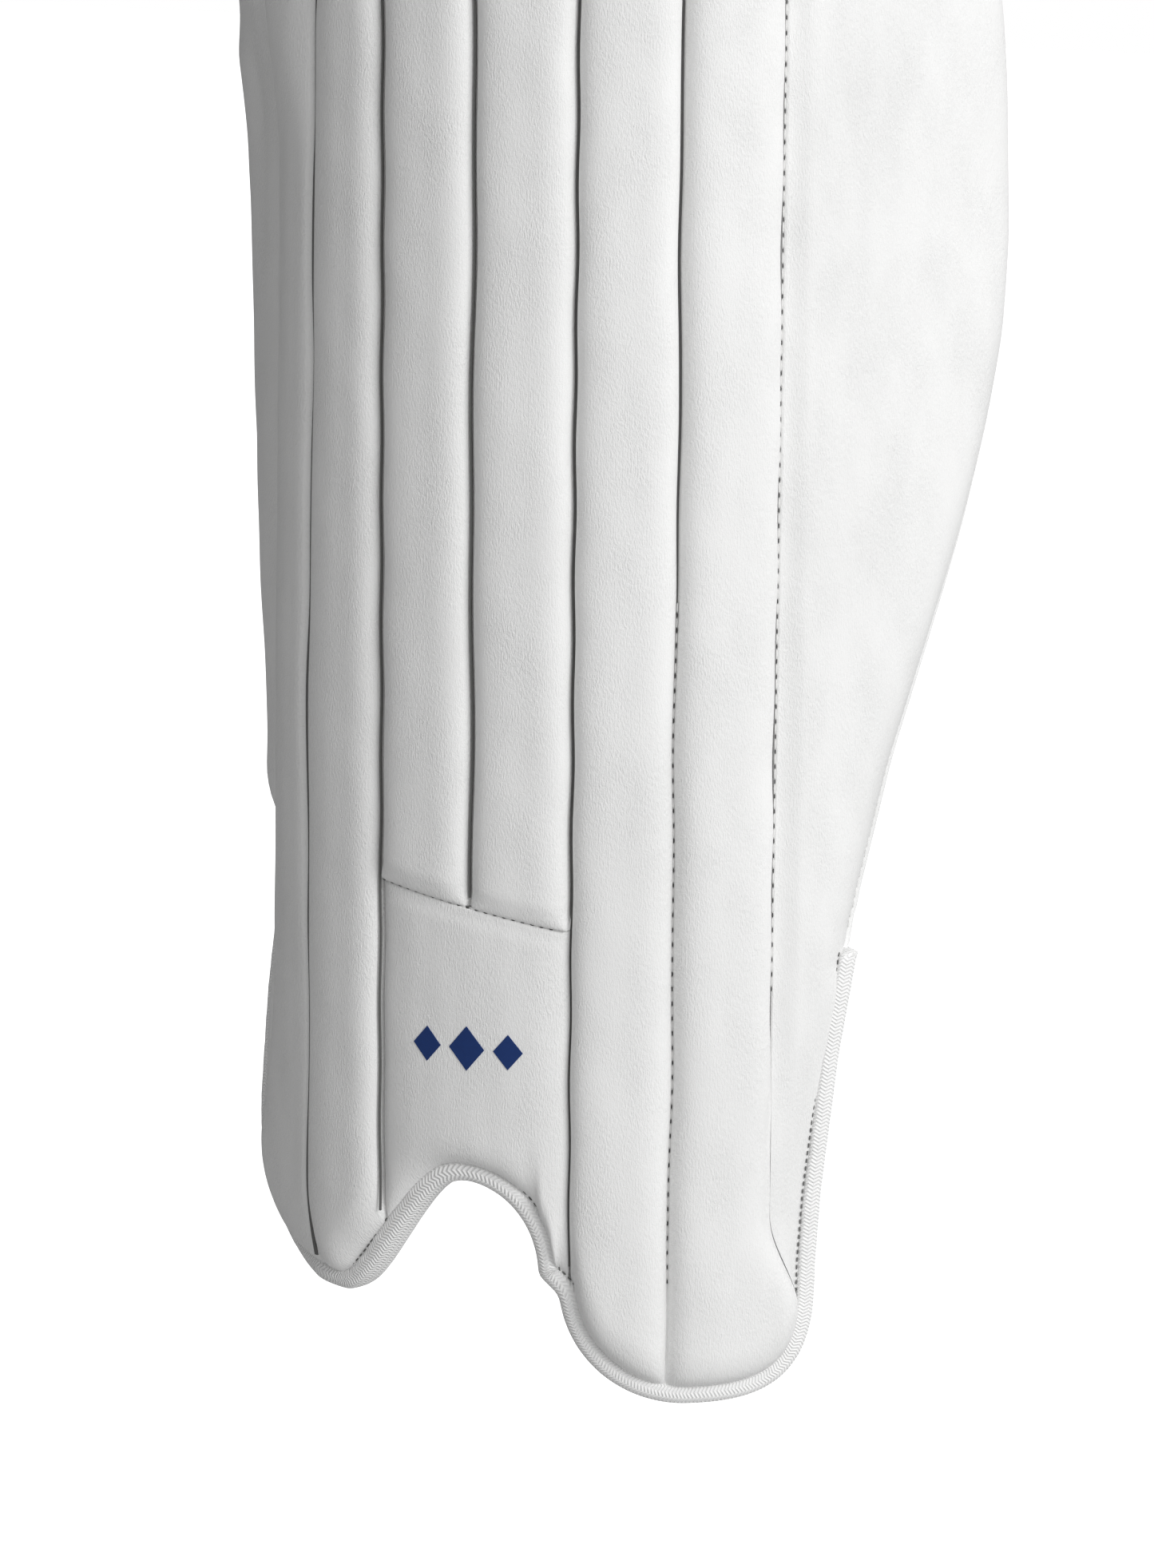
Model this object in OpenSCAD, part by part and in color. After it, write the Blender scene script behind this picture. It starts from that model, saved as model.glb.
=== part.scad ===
// Cricket batting leg pad, worn on the front of the lower leg.
// +Z is up the leg and the front faces -Y. The origin is on the leg's axis, level with the
// lowest point of the pad. Most shapes are drawn flat in pad coordinates and wrapped round
// the leg: s is the distance round the face from its centre line (+X side positive), z is
// the height, and d is the distance outward from the inner face that touches the leg.

/* [Face] */
// Width of one vertical roll
roll_pitch = 28.5; // [26:0.5:30]
// Height of the seam between the shin rolls and the first knee roll
knee_z = 452; // [440:1:470]
// Height of one horizontal knee roll
knee_roll_h = 42; // [36:1:46]
// Height of the thigh panel above the knee rolls
thigh_h = 164; // [140:1:180]
// Inner radius of the shin at the ankle
ankle_r = 118.5; // [112:0.5:124]
// Inner radius of the shin just below the knee
shin_top_r = 106.5; // [102:0.5:112]
// Inner radius of the thigh panel at its top edge
thigh_top_r = 180; // [150:5:220]

/* [Layers] */
// Thickness of the lining against the leg
lining_t = 1.2; // [1:0.1:2]
// Distance from the inner face to the front of the padding layer
padding_d = 6; // [5:0.5:8]
// Distance from the inner face to the bottom of the grooves between rolls
groove_d = 9.4; // [9:0.1:10]
// Distance from the inner face to the crown of a roll
crown_d = 16; // [15:0.5:20]
// Thickness of the leather cover
cover_t = 1.2; // [1:0.1:1.6]
// Radius of a cane rod
cane_r = 1.6; // [1.4:0.1:1.7]

/* [Fold] */
// Angle round the leg that the innermost roll faces, behind the seam where it folds back
fold_a = 54; // [48:1:56]
// Angle that the inner wing turns back out beside the innermost roll
flare_a = 16.5; // [10:0.5:18]

/* [Lower edge] */
// Height of the lowest point of the lobe on the inner side of the leg
inner_lobe_z = 25; // [10:1:35]
// Height of the top of the boot notch
notch_z = 68; // [60:1:75]
// Height of the binding's end on the outer side
outer_binding_z = 138; // [130:1:146]
// Height of the binding's end on the inner side
inner_binding_z = 150; // [140:1:158]
// Width of the binding tape's visible face
binding_w = 5; // [4:0.5:7]

/* [Wings] */
// Radius of the outer wing's sweep
outer_wing_r = 239; // [200:1:280]
// Crown of the wings above the inner face
wing_d = 13; // [10:0.5:15]
// Radius of the inner wing's rear curl
curl_r = 40; // [34:1:50]
// Angle round the leg at which the inner wing's rear curl starts
curl_a = 70; // [66:1:76]

/* [Straps] */
// Width of the strap webbing
strap_w = 38; // [30:1:40]
// Thickness of the strap webbing
strap_t = 2; // [1.6:0.1:2.4]
// Heights of the middles of the three straps
ankle_strap_z = 197; // [195:1:200]
calf_strap_z = 300; // [290:1:310]
knee_strap_z = 405; // [395:1:410]

/* [Hidden] */
deg = 180 / PI;
gap = 0.3;                          // between the layers of one body
joint_gap = 1.2;                    // between bodies at a seam that bends
half_face = 3 * roll_pitch;         // the face holds six rolls
layer_edge = binding_w + 0.6;       // how far the layers stay inside the outline
thigh_z = knee_z + 3 * knee_roll_h;
pad_h = thigh_z + thigh_h;
knee_half = 97;                     // half the width of the knee rolls, round the face
thigh_half = 102;                   // half the width of the thigh panel
thigh_pitch = 30;                   // width of one roll of the thigh panel
outer_wing_z = 150;                 // lower end of the outer wing
inner_wing_z = 168;                 // lower end of the inner wing
wing_top_z = knee_z - 3;
wing_s = half_face + 2.5;           // where the wings start, past the seam
band_d = 10.5;                      // front of the margin under the binding
flare_w = 6;                        // width of the trough beside the innermost roll
wing_edge_d = 2.6;                  // front of the wings at their edges
hook_t = 1.2;
loop_t = 1;
tail_d = wing_d + 2 * gap + loop_t + 0.6 + hook_t + gap;
loops_a = 86;                       // angle round the curl where the loop patches start
tail_a = 95;                        // angles round the curl where a strap's tail starts
leave_a = 118;                      // and where the strap leaves the wing
anchor_r = 40;                      // bend of the anchors' free ends
anchor_end_a = 88;
anchor_reach = 24;
hinge_reach = 2;
strap_start_a = 105;                // heading of a strap away from its hinge
back_r = 82;                        // bend of the straps round the back of the leg
knee_edge_d = 6;
knee_crown_d = 24;
thigh_crown_d = 18;

// ---- wrapping ----
function mix(a, b, t) = a + (b - a) * t;
function clamp(x, lo, hi) = max(lo, min(hi, x));
function smooth(t) = let (c = clamp(t, 0, 1)) c * c * (3 - 2 * c);

// Distance of the front centre line from the leg's axis
function front_r(z) = mix(ankle_r, shin_top_r, clamp(z / knee_z, 0, 1));

// Radius of the wrap at a height: the shin is round, and the thigh panel is flatter
function wrap_r(z) =
    z <= knee_z ? front_r(z) : mix(shin_top_r, thigh_top_r, (z - knee_z) / (pad_h - knee_z));

// The innermost roll folds back at its seam: s of the seam, heading of the roll behind it,
// and the width over which it bends, which is the whole roll at the knee
function fold_s(z) = 2 * roll_pitch - 3 * smooth((z - 190) / 230) - 6 * pow(clamp((60 - z) / 32, 0, 1), 2);
function side_heading(z) =
    let (low = mix(fold_a - 11, fold_a, smooth((z - 60) / 150)))
    mix(low, half_face / shin_top_r * deg, smooth((z - 370) / 90));
function fold_w(z) = (half_face - fold_s(z)) * mix(0.14, 1, smooth((z - 370) / (knee_z - 370)));

// The inner wing first turns back out, then bends in towards the leg, and hugs the ankle
// more closely than the calf
function flare(z) = flare_a * max(0.001, 1 - pow((z - 305) / 170, 2));
function inner_wing_r(z) =
    z < 170 ? mix(260, 45, smooth((z - 120) / 50)) : mix(45, 90, clamp((z - 170) / 270, 0, 1));
function wing_bend(z) = (curl_a - side_heading(z) + flare(z)) / deg * inner_wing_r(z);

// Arcs, each a length and a radius, that the inner face follows from its centre line
function arcs(z, left) =
    z > knee_z ? [[1000, wrap_r(z)]]
    : !left ? [[half_face, wrap_r(z)], [1000, outer_wing_r]]
    : [[fold_s(z), wrap_r(z)],
       [fold_w(z), fold_w(z) / (side_heading(z) / deg - fold_s(z) / wrap_r(z))],
       [half_face - fold_s(z) - fold_w(z), 1e5],
       [flare_w, -flare_w / flare(z) * deg],
       [wing_bend(z), inner_wing_r(z)],
       [1000, curl_r]];

// The point and the heading reached after a distance m along a run of arcs
function walk(run, m, x = 0, y = 0, a = 0, i = 0) =
    let (r = run[i][1],
         b = a + min(m, run[i][0]) / r * deg,
         end_x = x + r * (sin(b) - sin(a)),
         end_y = y + r * (cos(a) - cos(b)))
    m <= run[i][0] ? [end_x, end_y, b] : walk(run, m - run[i][0], end_x, end_y, b, i + 1);

// A point in pad coordinates, in space
function at(s, z, d) =
    let (w = walk(arcs(z, s < 0), abs(s)))
    [(s < 0 ? -1 : 1) * (w[0] + d * sin(w[2])), w[1] - d * cos(w[2]) - front_r(z), z];

// ---- outlines, in pad coordinates ----
// A lobe's edge: how far it has risen at a share u of its half width
function lobe(u, n) = 1 - pow(1 - pow(clamp(u, 0, 1), n), 1 / n);

// Height of the pad's lower edge at s: inner lobe, boot notch, outer lobe
function lower_edge(s) =
    s < -46 ? inner_lobe_z + 45 * lobe((-46 - s) / 59, 2.3)
    : s < -3 ? mix(inner_lobe_z, notch_z, smooth((s + 46) / 43))
    : s < 19.5 ? notch_z - 27.5 * lobe((s + 3) / 22.5, 2)
    : s < 26 ? mix(notch_z - 27.5, 34, (s - 19.5) / 6.5)
    : s < 64 ? 38 * lobe((64 - s) / 38.5, 2)
    : 42 * lobe((s - 64) / 38.5, 3);

// Lowest height at s that is a distance w or more from the lower edge
function clear_of_edge(s, w) =
    max([for (t = [-1:0.1:1]) lower_edge(s + t * w) + w * sqrt(max(0, 1 - t * t))]);

// s of the pad's side edges below the wings
function outer_side(z) = lookup(z, [[42, 102.5], [64, 104], [105, 109], [outer_wing_z, 117]]);
function inner_side(z) = lookup(z, [[70, 105], [110, 103], [inner_wing_z, 97]]);

// s of the wings' rear edges
function outer_wing_edge(z) =
    lookup(z, [[150, 117], [172, 123], [196, 129.5], [235, 144], [263, 154.5], [295, 164.5],
               [322, 171], [351, 173.5], [400, 172], [428, 169], [441, 162], [452, 146]]);
function inner_wing_edge(z) =
    lookup(z, [[168, 112], [177, 140], [214, 150], [300, 161], [405, 175], [432, 172], [452, 156]]);

// Slanting seam between the centre rolls and the instep panel
function instep_seam(s) = mix(161, 150, (s + roll_pitch) / (2 * roll_pitch));

// Top edge of the thigh panel
function thigh_edge(s) = pad_h - 46 * pow(abs(s) / thigh_half, 4);
function clear_of_thigh_edge(s, w) =
    let (slope = thigh_edge(s + 0.5) - thigh_edge(s - 0.5))
    thigh_edge(s) - w * sqrt(1 + slope * slope);

// s of a column of the face, whose columns are numbered q as if all rolls were equally wide:
// the inner ones follow the fold, and the outermost spread to fill the lobes low down
function spread(q, z) =
    let (out = min(0, q + 2 * roll_pitch) / roll_pitch,
         mid = max(0, min(roll_pitch, -q - roll_pitch)) / roll_pitch,
         follow = (2 * roll_pitch - fold_s(z)) * (mid + out),
         fill = max(0, abs(q) / roll_pitch - 2) * 11 * (1 - smooth((z - 55) / 60)))
    q + follow + sign(q) * fill;

// ---- cross-sections ----
// Height of a roll's front across its width, 0 at the seams and 1 on the crown
function roll_bulge(u) = sqrt(max(0, 1 - pow(abs(2 * u - 1), 4)));
// A roll fades over this length at its ends
function end_fade(x, len) = sqrt(max(0, 1 - pow(1 - clamp(x / len, 0, 1), 2)));

ROLL_U = [0, 0.06, 0.18, 0.36, 0.5, 0.64, 0.82, 0.94];

// ---- solids ----
// A closed solid between two matching grids of points, front and back
module slab(front, back) {
    nu = len(front);
    nv = len(front[0]);
    n = nu * nv;
    function id(i, j, b) = i * nv + j + b * n;
    function quad(a, b, c, d) = [[a, c, b], [a, d, c]];
    polyhedron(
        points = [for (row = front) each row, for (row = back) each row],
        faces = [
            for (i = [0:nu - 2], j = [0:nv - 2], side = [0, 1])
                each side == 0
                    ? quad(id(i, j, 0), id(i + 1, j, 0), id(i + 1, j + 1, 0), id(i, j + 1, 0))
                    : quad(id(i, j, 1), id(i, j + 1, 1), id(i + 1, j + 1, 1), id(i + 1, j, 1)),
            for (i = [0:nu - 2])
                each quad(id(i, 0, 0), id(i, 0, 1), id(i + 1, 0, 1), id(i + 1, 0, 0)),
            for (i = [0:nu - 2])
                each quad(id(i, nv - 1, 0), id(i + 1, nv - 1, 0), id(i + 1, nv - 1, 1), id(i, nv - 1, 1)),
            for (j = [0:nv - 2])
                each quad(id(0, j, 0), id(0, j + 1, 0), id(0, j + 1, 1), id(0, j, 1)),
            for (j = [0:nv - 2])
                each quad(id(nu - 1, j, 0), id(nu - 1, j, 1), id(nu - 1, j + 1, 1), id(nu - 1, j + 1, 0))
        ]);
}

// Columns of pad coordinates between a lower and an upper edge
function steps(n) = [for (i = [0:n]) i / n];

// A straight round rod between two points
module rod(a, b, r) {
    v = b - a;
    translate(a)
        rotate([0, acos(v.z / norm(v)), atan2(v.y, v.x)])
            cylinder(h = norm(v), r = r, $fn = 24);
}

// ---- shin rolls ----
SHIN_V = [0, 0.012, 0.03, 0.06, 0.12, 0.22, 0.34, 0.46, 0.58, 0.7, 0.82, 0.92, 0.97, 0.99, 1];
shin_top = knee_z - 2;

// Lower end of the rolls in column q
function roll_foot(q) =
    abs(q) < roll_pitch - 0.01 ? instep_seam(q) + 1
    : clear_of_edge(spread(q, 0), binding_w + 1);

// Crown of roll k: the innermost roll is thinner low down
function roll_crown(k, z) =
    k > 1 ? crown_d : mix(mix(13.5, 16.5, smooth((z - 60) / 150)), crown_d, smooth((z - 400) / 50));

// Front of the face, where k numbers the roll from 1 to 6 and u runs across it
function roll_front(k, u, z, foot, top) =
    groove_d + (roll_crown(k, z) - groove_d) * roll_bulge(u) * end_fade(z - foot, 16) * end_fade(top - z, 9);

function roll_q(k, u) = (k - 4 + u) * roll_pitch;

// One column of a roll, as points at a depth below its front
function roll_column(k, u, inset, trim, flat = -1) =
    let (q = roll_q(k, u),
         middle = clamp(q, -roll_pitch + 0.02, roll_pitch - 0.02),
         side = k <= 2 ? min(q, -roll_pitch) : k >= 5 ? max(q, roll_pitch) : middle,
         foot = roll_foot(side),
         rows = [for (i = [trim:len(SHIN_V) - 1 - trim]) SHIN_V[i]])
    [for (v = rows)
        let (z = mix(foot, shin_top, v), s = spread(side, z))
        at(s, z, flat >= 0 ? flat : roll_front(k, u, z, foot, shin_top) - inset)];

module face_cover(first, last) {
    columns = [for (k = [first:last], u = ROLL_U) [k, u], [last, 1]];
    color("white")
        slab([for (c = columns) roll_column(c[0], c[1], 0, 0)],
             [for (c = columns) roll_column(c[0], c[1], cover_t, 0)]);
}

// The foam of the innermost roll lies on the padding, and the others on the cane rods
module shin_core(k) {
    columns = [for (i = [1:7]) ROLL_U[i]];
    back = k == 1 ? padding_d + 4 * gap : padding_d + 2 * cane_r + 3 * gap;
    color("lightyellow")
        slab([for (u = columns) roll_column(k, u, cover_t + gap, 3)],
             [for (u = columns) roll_column(k, u, 0, 3, back)]);
}

module cane_rods() {
    for (k = [2:6], u = [0.3, 0.7]) {
        q = roll_q(k, u);
        low = roll_foot(q) + 30;
        d = padding_d + gap + cane_r + 0.2;
        color("tan") rod(at(q, low, d), at(q, shin_top - 14, d), cane_r);
    }
}

// ---- instep panel ----
module instep_layer(front_inset, back_d, skin, trim) {
    qs = [for (t = [-1, -0.9, -0.72, -0.5, -0.25, 0, 0.25, 0.5, 0.62, 0.76, 0.9, 1]) t * (roll_pitch - 0.4)];
    vs = [0, 0.04, 0.1, 0.2, 0.4, 0.6, 0.8, 0.93, 1];
    columns = [for (i = [trim:len(qs) - 1 - trim]) qs[i]];
    rows = [for (i = [trim:len(vs) - 1 - trim]) vs[i]];
    function front(q, z, foot, top) =
        groove_d + 4 * sqrt(1 - pow(abs(q) / roll_pitch, 4)) * end_fade(z - foot, 12) * end_fade(top - z, 10);
    function grid(inset, flat) =
        [for (q = columns)
            let (foot = clear_of_edge(q, binding_w + 1), top = instep_seam(q) - 1)
            [for (v = rows)
                let (z = mix(foot, top, v))
                at(q, z, flat >= 0 ? flat : front(q, z, foot, top) - inset)]];
    slab(grid(front_inset, -1), skin ? grid(front_inset + cover_t, -1) : grid(0, back_d));
}

module instep_cover() color("white") instep_layer(0, 0, true, 0);
module instep_core() color("lightyellow") instep_layer(cover_t + gap, padding_d + gap, false, 2);

// ---- padding and lining of the shin ----
// Lower end of the layers on the outer margin, and their upper end on the inner margin
function margin_foot(s) =
    s < 97 ? clear_of_edge(s, layer_edge)
    : lookup(s + layer_edge, [[102.5, 44], [104, 64], [109, 105], [117, 150]]);
function margin_top(s) = lookup(layer_edge - s, [[97, inner_wing_z - 2], [103, 110], [105, 76]]);

// Columns of the layers behind the face, with the margins of the lobes below the wings
shin_columns = concat(
    [for (s = [-99.4, -98, -96, -93.5, -91]) [s, clear_of_edge(s, layer_edge), margin_top(s)]],
    [[-half_face - 1.7, clear_of_edge(-half_face, layer_edge), inner_wing_z - 2]],
    [for (s = [-half_face + 0.4, -80.5, -69, for (i = [-8:0]) i * 1.5 - 50.5, -46, -34.5, -23, -11.5,
               -5, -2, 2, 6, 10, 14, 17, 18.6, 20, 24, 27, for (i = [3:7]) i * 11.5, half_face - 0.4])
        [s, clear_of_edge(s, layer_edge), knee_z - 1]],
    [for (s = [half_face + 1.7, 91, 94, 96.2, 98.4, 103.4, 109]) [s, margin_foot(s), outer_wing_z - 2]]);

module shin_layer(d0, d1) {
    function grid(d) = [for (c = shin_columns) [for (v = SHIN_V) at(c[0], mix(c[1], c[2], v), d)]];
    slab(grid(d1), grid(d0));
}

module shin_lining() color("whitesmoke") shin_layer(0, lining_t);
module shin_padding() color("ivory") shin_layer(lining_t + gap, padding_d);

// A padded margin beside the lowest part of an outer roll, from the roll to the binding
module margin_pad(side, z0, z1) {
    function edge(z) = (side > 0 ? outer_side(z) : inner_side(z)) - binding_w - 0.5;
    function grid(rise) =
        [for (u = [0, 0.12, 0.35, 0.65, 0.88, 1]) [for (v = steps(8))
            let (z = mix(z0, z1, v), s = mix(spread(half_face, z) + 1.5, edge(z), u))
            at(side * s, z, rise < 0 ? padding_d + gap : band_d - 1.5 + rise * sqrt(1 - pow(2 * u - 1, 2)))]];
    color("white")
        if (side > 0)
            slab(grid(3), grid(-1));
        else
            slab(grid(-1), grid(3));
}

// A rounded bolster on the inner face, from height z0 to z1 and centred on s
module bolster(s, w, z0, z1, depth, fade) {
    function inner(u, z) =
        -2 * gap - 0.6 - depth * sqrt(1 - pow(abs(2 * u - 1), 2.4) * 0.999)
        * end_fade(z - z0 + 0.5, fade) * end_fade(z1 - z + 0.5, fade);
    us = [0, 0.08, 0.25, 0.5, 0.75, 0.92, 1];
    zs = [for (v = [0, 0.03, 0.08, 0.25, 0.5, 0.75, 0.92, 0.97, 1]) mix(z0, z1, v)];
    slab([for (u = us) [for (z = zs) at(s + (u - 0.5) * w, z, -2 * gap)]],
         [for (u = us) [for (z = zs) at(s + (u - 0.5) * w, z, inner(u, z))]]);
}

// The inner bolster is narrower, because it lies beside the fold
module shin_bolster(side) {
    color("whitesmoke")
        if (side > 0)
            bolster(53, 24, 130, 425, 12, 18);
        else
            bolster(-46.5, 18, 130, 425, 12, 18);
}

// ---- lower binding ----
LOBE_S = [101.8, 101, 99, 95, 89, 81, 72, 62, 52, 44, 38, 33, 29.5, 27, 24, 21, 19.4, 18.4, 16.5, 13, 8, 2,
          -4, -10, -15, -20, -25, -30, -36, -43, -48, -52, -56, -62, -72, -82, -90, -96, -100, -103, -104.4];

lower_outline = concat(
    [for (z = [outer_binding_z, 120, 100, 80, 60, 46]) [outer_side(z), z]],
    [for (s = LOBE_S) [s, lower_edge(s)]],
    [for (z = [76, 95, 115, 135, inner_binding_z]) [-inner_side(z), z]]);

// A tape folded over the edge that follows an outline; inward is the side the pad is on
module binding(outline, w, d0, d1, inward) {
    n = len(outline);
    function normal(i) =
        let (v = outline[min(i + 1, n - 1)] - outline[max(i - 1, 0)])
        inward * [-v.y, v.x] / norm(v);
    function ring(i) =
        let (p = outline[i], q = p + (w - gap) * normal(i), c = (p + q) / 2)
        [at(p.x, p.y, mix(d0, d1, 0.2)), at(p.x, p.y, mix(d0, d1, 0.8)), at(c.x, c.y, d1),
         at(q.x, q.y, d1 - 0.4), at(q.x, q.y, d0 + 0.4), at(c.x, c.y, d0)];
    rings = [for (i = [0:n - 1]) ring(i)];
    sides = 6;
    function turn(f) = inward > 0 ? f : [f[0], f[2], f[1]];
    polyhedron(
        points = [for (r = rings) each r],
        faces = [
            for (i = [0:n - 2], k = [0:sides - 1])
                let (a = i * sides + k, b = i * sides + (k + 1) % sides)
                each [turn([a, b, b + sides]), turn([a, b + sides, a + sides])],
            for (k = [1:sides - 2]) turn([0, k + 1, k]),
            for (k = [1:sides - 2]) turn([(n - 1) * sides, (n - 1) * sides + k, (n - 1) * sides + k + 1])
        ]);
}

module lower_binding() color("gainsboro") binding(lower_outline, binding_w, -0.8, band_d, -1);

// ---- wings ----
WING_U = [0, 0.05, 0.12, 0.2, 0.4, 0.6, 0.8, 0.92, 0.97, 1];
WING_V = [0, 0.02, 0.06, 0.12, 0.2, 0.3, 0.4, 0.5, 0.6, 0.7, 0.76, 0.82, 0.88, 0.93, 0.96, 0.985, 1];

function wing_foot(side) = side > 0 ? outer_wing_z : inner_wing_z;
function wing_width(side, z) = (side > 0 ? outer_wing_edge(z) : inner_wing_edge(z)) - wing_s;

// Front of a wing at a distance x from its seam: low at the seam and all round the edge
function wing_front(side, x, z) =
    let (edge = wing_width(side, z) - x, end = min(wing_top_z - z, z - wing_foot(side)))
    wing_edge_d + (wing_d - wing_edge_d)
        * min(smooth(x / 11 + 0.25), end_fade(edge + 0.4, 9), end_fade(end + 0.4, 8));

// Points of a wing at a depth below its front, or at a fixed height above the inner face
function wing_grid(side, inset, flat, trim) =
    [for (i = [trim:len(WING_U) - 1 - trim])
        [for (j = [trim:len(WING_V) - 1 - trim])
            let (z = mix(wing_foot(side), wing_top_z, WING_V[j]), x = WING_U[i] * wing_width(side, z))
            at(side * (wing_s + x), z, flat >= 0 ? flat : wing_front(side, x, z) - inset)]];

module wing_slab(side, front, back) {
    if (side > 0)
        slab(front, back);
    else
        slab(back, front);
}

module wing_cover(side) {
    color("white")
        wing_slab(side, wing_grid(side, 0, -1, 0), wing_grid(side, cover_t, -1, 0));
}

module wing_core(side) {
    color("lightyellow")
        wing_slab(side, wing_grid(side, cover_t + gap, -1, 2), wing_grid(side, 0, lining_t + gap, 2));
}

module wing_lining(side) {
    color("whitesmoke")
        wing_slab(side, wing_grid(side, 0, wing_edge_d - cover_t - gap, 0), wing_grid(side, 0, 0, 0));
}

// ---- straps ----
// s at an angle round the inner wing's rear curl
function curl_s(a, z) =
    -(half_face + flare_w + wing_bend(z) + (a - curl_a) / deg * curl_r);
function flat2(p) = [p.x, p.y];
function turned(v, a) = [v.x * cos(a) - v.y * sin(a), v.x * sin(a) + v.y * cos(a)];
function cross2(a, b) = a.x * b.y - a.y * b.x;

// Stations of a strap's anchor: sewn to the lining, then curving back to the hinge
function anchor_path(z) =
    let (sewn = [for (s = [69, 74, 79, 83]) [flat2(at(s, z, -gap)), s / wrap_r(z) * deg]],
         start = sewn[3],
         centre = start[0] + anchor_r * turned([0, 1], start[1]),
         bend = [for (i = [1:8]) mix(start[1], anchor_end_a, i / 8)])
    concat(sewn, [for (a = bend) [centre + anchor_r * turned([0, -1], a), a]],
           [[centre + anchor_r * turned([0, -1], anchor_end_a) + anchor_reach * turned([1, 0], anchor_end_a),
             anchor_end_a]]);

// A strap's hinge, a little behind the end of its anchor
function hinge(z) =
    let (last = anchor_path(z)[len(anchor_path(z)) - 1])
    last[0] + hinge_reach * turned([1, 0], anchor_end_a) + strap_t / 2 * turned([0, 1], anchor_end_a);

// Stations of a strap, from its tail on the inner wing round the back to the hinge: each is a
// point on the leg side of the webbing and the heading there, with the outside on the left
function strap_path(zc, z) =
    let (p1 = flat2(at(curl_s(leave_a, z), z, tail_d)),
         h1 = 180 - leave_a,
         u1 = turned([1, 0], h1),
         ua = turned([1, 0], strap_start_a),
         a = hinge(zc),
         along = cross2(a - p1, ua) / cross2(u1, ua),
         turn = h1 + 180 - strap_start_a,
         first = along - back_r * tan(turn / 2),
         centre = p1 + first * u1 + back_r * turned([0, -1], h1),
         tail = [for (i = [0:6]) mix(tail_a, leave_a, i / 6)])
    concat([for (b = tail) [flat2(at(curl_s(b, z), z, tail_d)), 180 - b]],
           [for (i = [0:14]) let (b = h1 - turn * i / 14) [centre + back_r * turned([0, 1], b), b]],
           [[a + hinge_reach * ua + strap_t / 2 * turned([-1, 0], 90 + h1 - turn), h1 - turn]]);

// Webbing between two offsets outward from a run of a strap's stations
module webbing(zc, w, inner, outer, first, last) {
    rows = [zc - w / 2, zc, zc + w / 2];
    function grid(d) =
        [for (i = [first:last]) [for (z = rows)
            let (st = strap_path(zc, z)[i], p = st[0] + d * turned([0, 1], st[1])) [p.x, p.y, z]]];
    slab(grid(inner), grid(outer));
}

strap_last = 22;                    // number of a strap's last station
module strap(zc) color("white") webbing(zc, strap_w, 0, strap_t, 0, strap_last);
module hook_patch(zc) color("gainsboro") webbing(zc, strap_w - 4, -gap - hook_t, -gap, 0, 5);
module strap_pad(zc) color("white") webbing(zc, strap_w + 14, -gap - 7, -gap, 10, 19);

module strap_anchor(zc) {
    path = anchor_path(zc);
    rows = [zc - strap_w / 2, zc, zc + strap_w / 2];
    function grid(d) =
        [for (i = [0:len(path) - 1]) [for (z = rows)
            let (st = anchor_path(z)[i], p = st[0] + d * turned([0, 1], st[1])) [p.x, p.y, z]]];
    color("gainsboro") slab(grid(0), grid(strap_t));
}

module loop_patch(zc) {
    rows = [for (i = [0:4]) zc + (i / 4 - 0.5) * (strap_w + 6)];
    function grid(d) = [for (i = [0:8]) [for (z = rows) at(curl_s(mix(loops_a, 119, i / 8), z), z, d)]];
    color("lightgray") slab(grid(wing_d + 2 * gap), grid(wing_d + 2 * gap + loop_t));
}

// ---- knee rolls ----
KNEE_V = [0, 0.04, 0.12, 0.26, 0.42, 0.58, 0.74, 0.88, 0.96, 1];

function knee_columns() =
    [for (t = [-1, -0.985, -0.95, -0.9, for (i = [-5:5]) i / 6.3, 0.9, 0.95, 0.985, 1]) t * knee_half];

module knee_layer(i, front_inset, back_d, skin, trim) {
    z0 = knee_z + (i - 1) * knee_roll_h + joint_gap / 2;
    h = knee_roll_h - joint_gap;
    vs = [for (j = [trim:len(KNEE_V) - 1 - trim]) KNEE_V[j]];
    ss = knee_columns();
    columns = [for (j = [2 * trim:len(ss) - 1 - 2 * trim]) ss[j]];
    function front(s, v) =
        knee_edge_d + (knee_crown_d - knee_edge_d) * roll_bulge(v) * end_fade(knee_half - abs(s), 16);
    function grid(inset, flat) =
        [for (s = columns) [for (v = vs) at(s, z0 + v * h, flat >= 0 ? flat : front(s, v) - inset)]];
    slab(grid(front_inset, -1), skin ? grid(front_inset + cover_t, -1) : grid(0, back_d));
}

module knee_roll_cover(i) color("white") knee_layer(i, 0, 0, true, 0);
module knee_roll_core(i) color("lightyellow") knee_layer(i, cover_t + 2 * gap, lining_t + gap, false, 1);

module knee_lining(i) {
    z0 = knee_z + (i - 1) * knee_roll_h + joint_gap / 2;
    function grid(d) =
        [for (s = knee_columns()) [for (z = [z0, z0 + knee_roll_h - joint_gap]) at(s, z, d)]];
    color("whitesmoke") slab(grid(lining_t), grid(0));
}

module knee_pod(side) {
    z0 = knee_z + knee_roll_h + 3;
    color("whitesmoke") bolster(side * 55, 30, z0, z0 + knee_roll_h - 6, 15, 12);
}

// ---- thigh panel ----
THIGH_V = [0, 0.02, 0.05, 0.1, 0.2, 0.35, 0.5, 0.65, 0.8, 0.9, 0.95, 0.98, 1];
thigh_foot = thigh_z + joint_gap / 2 + 1;

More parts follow.
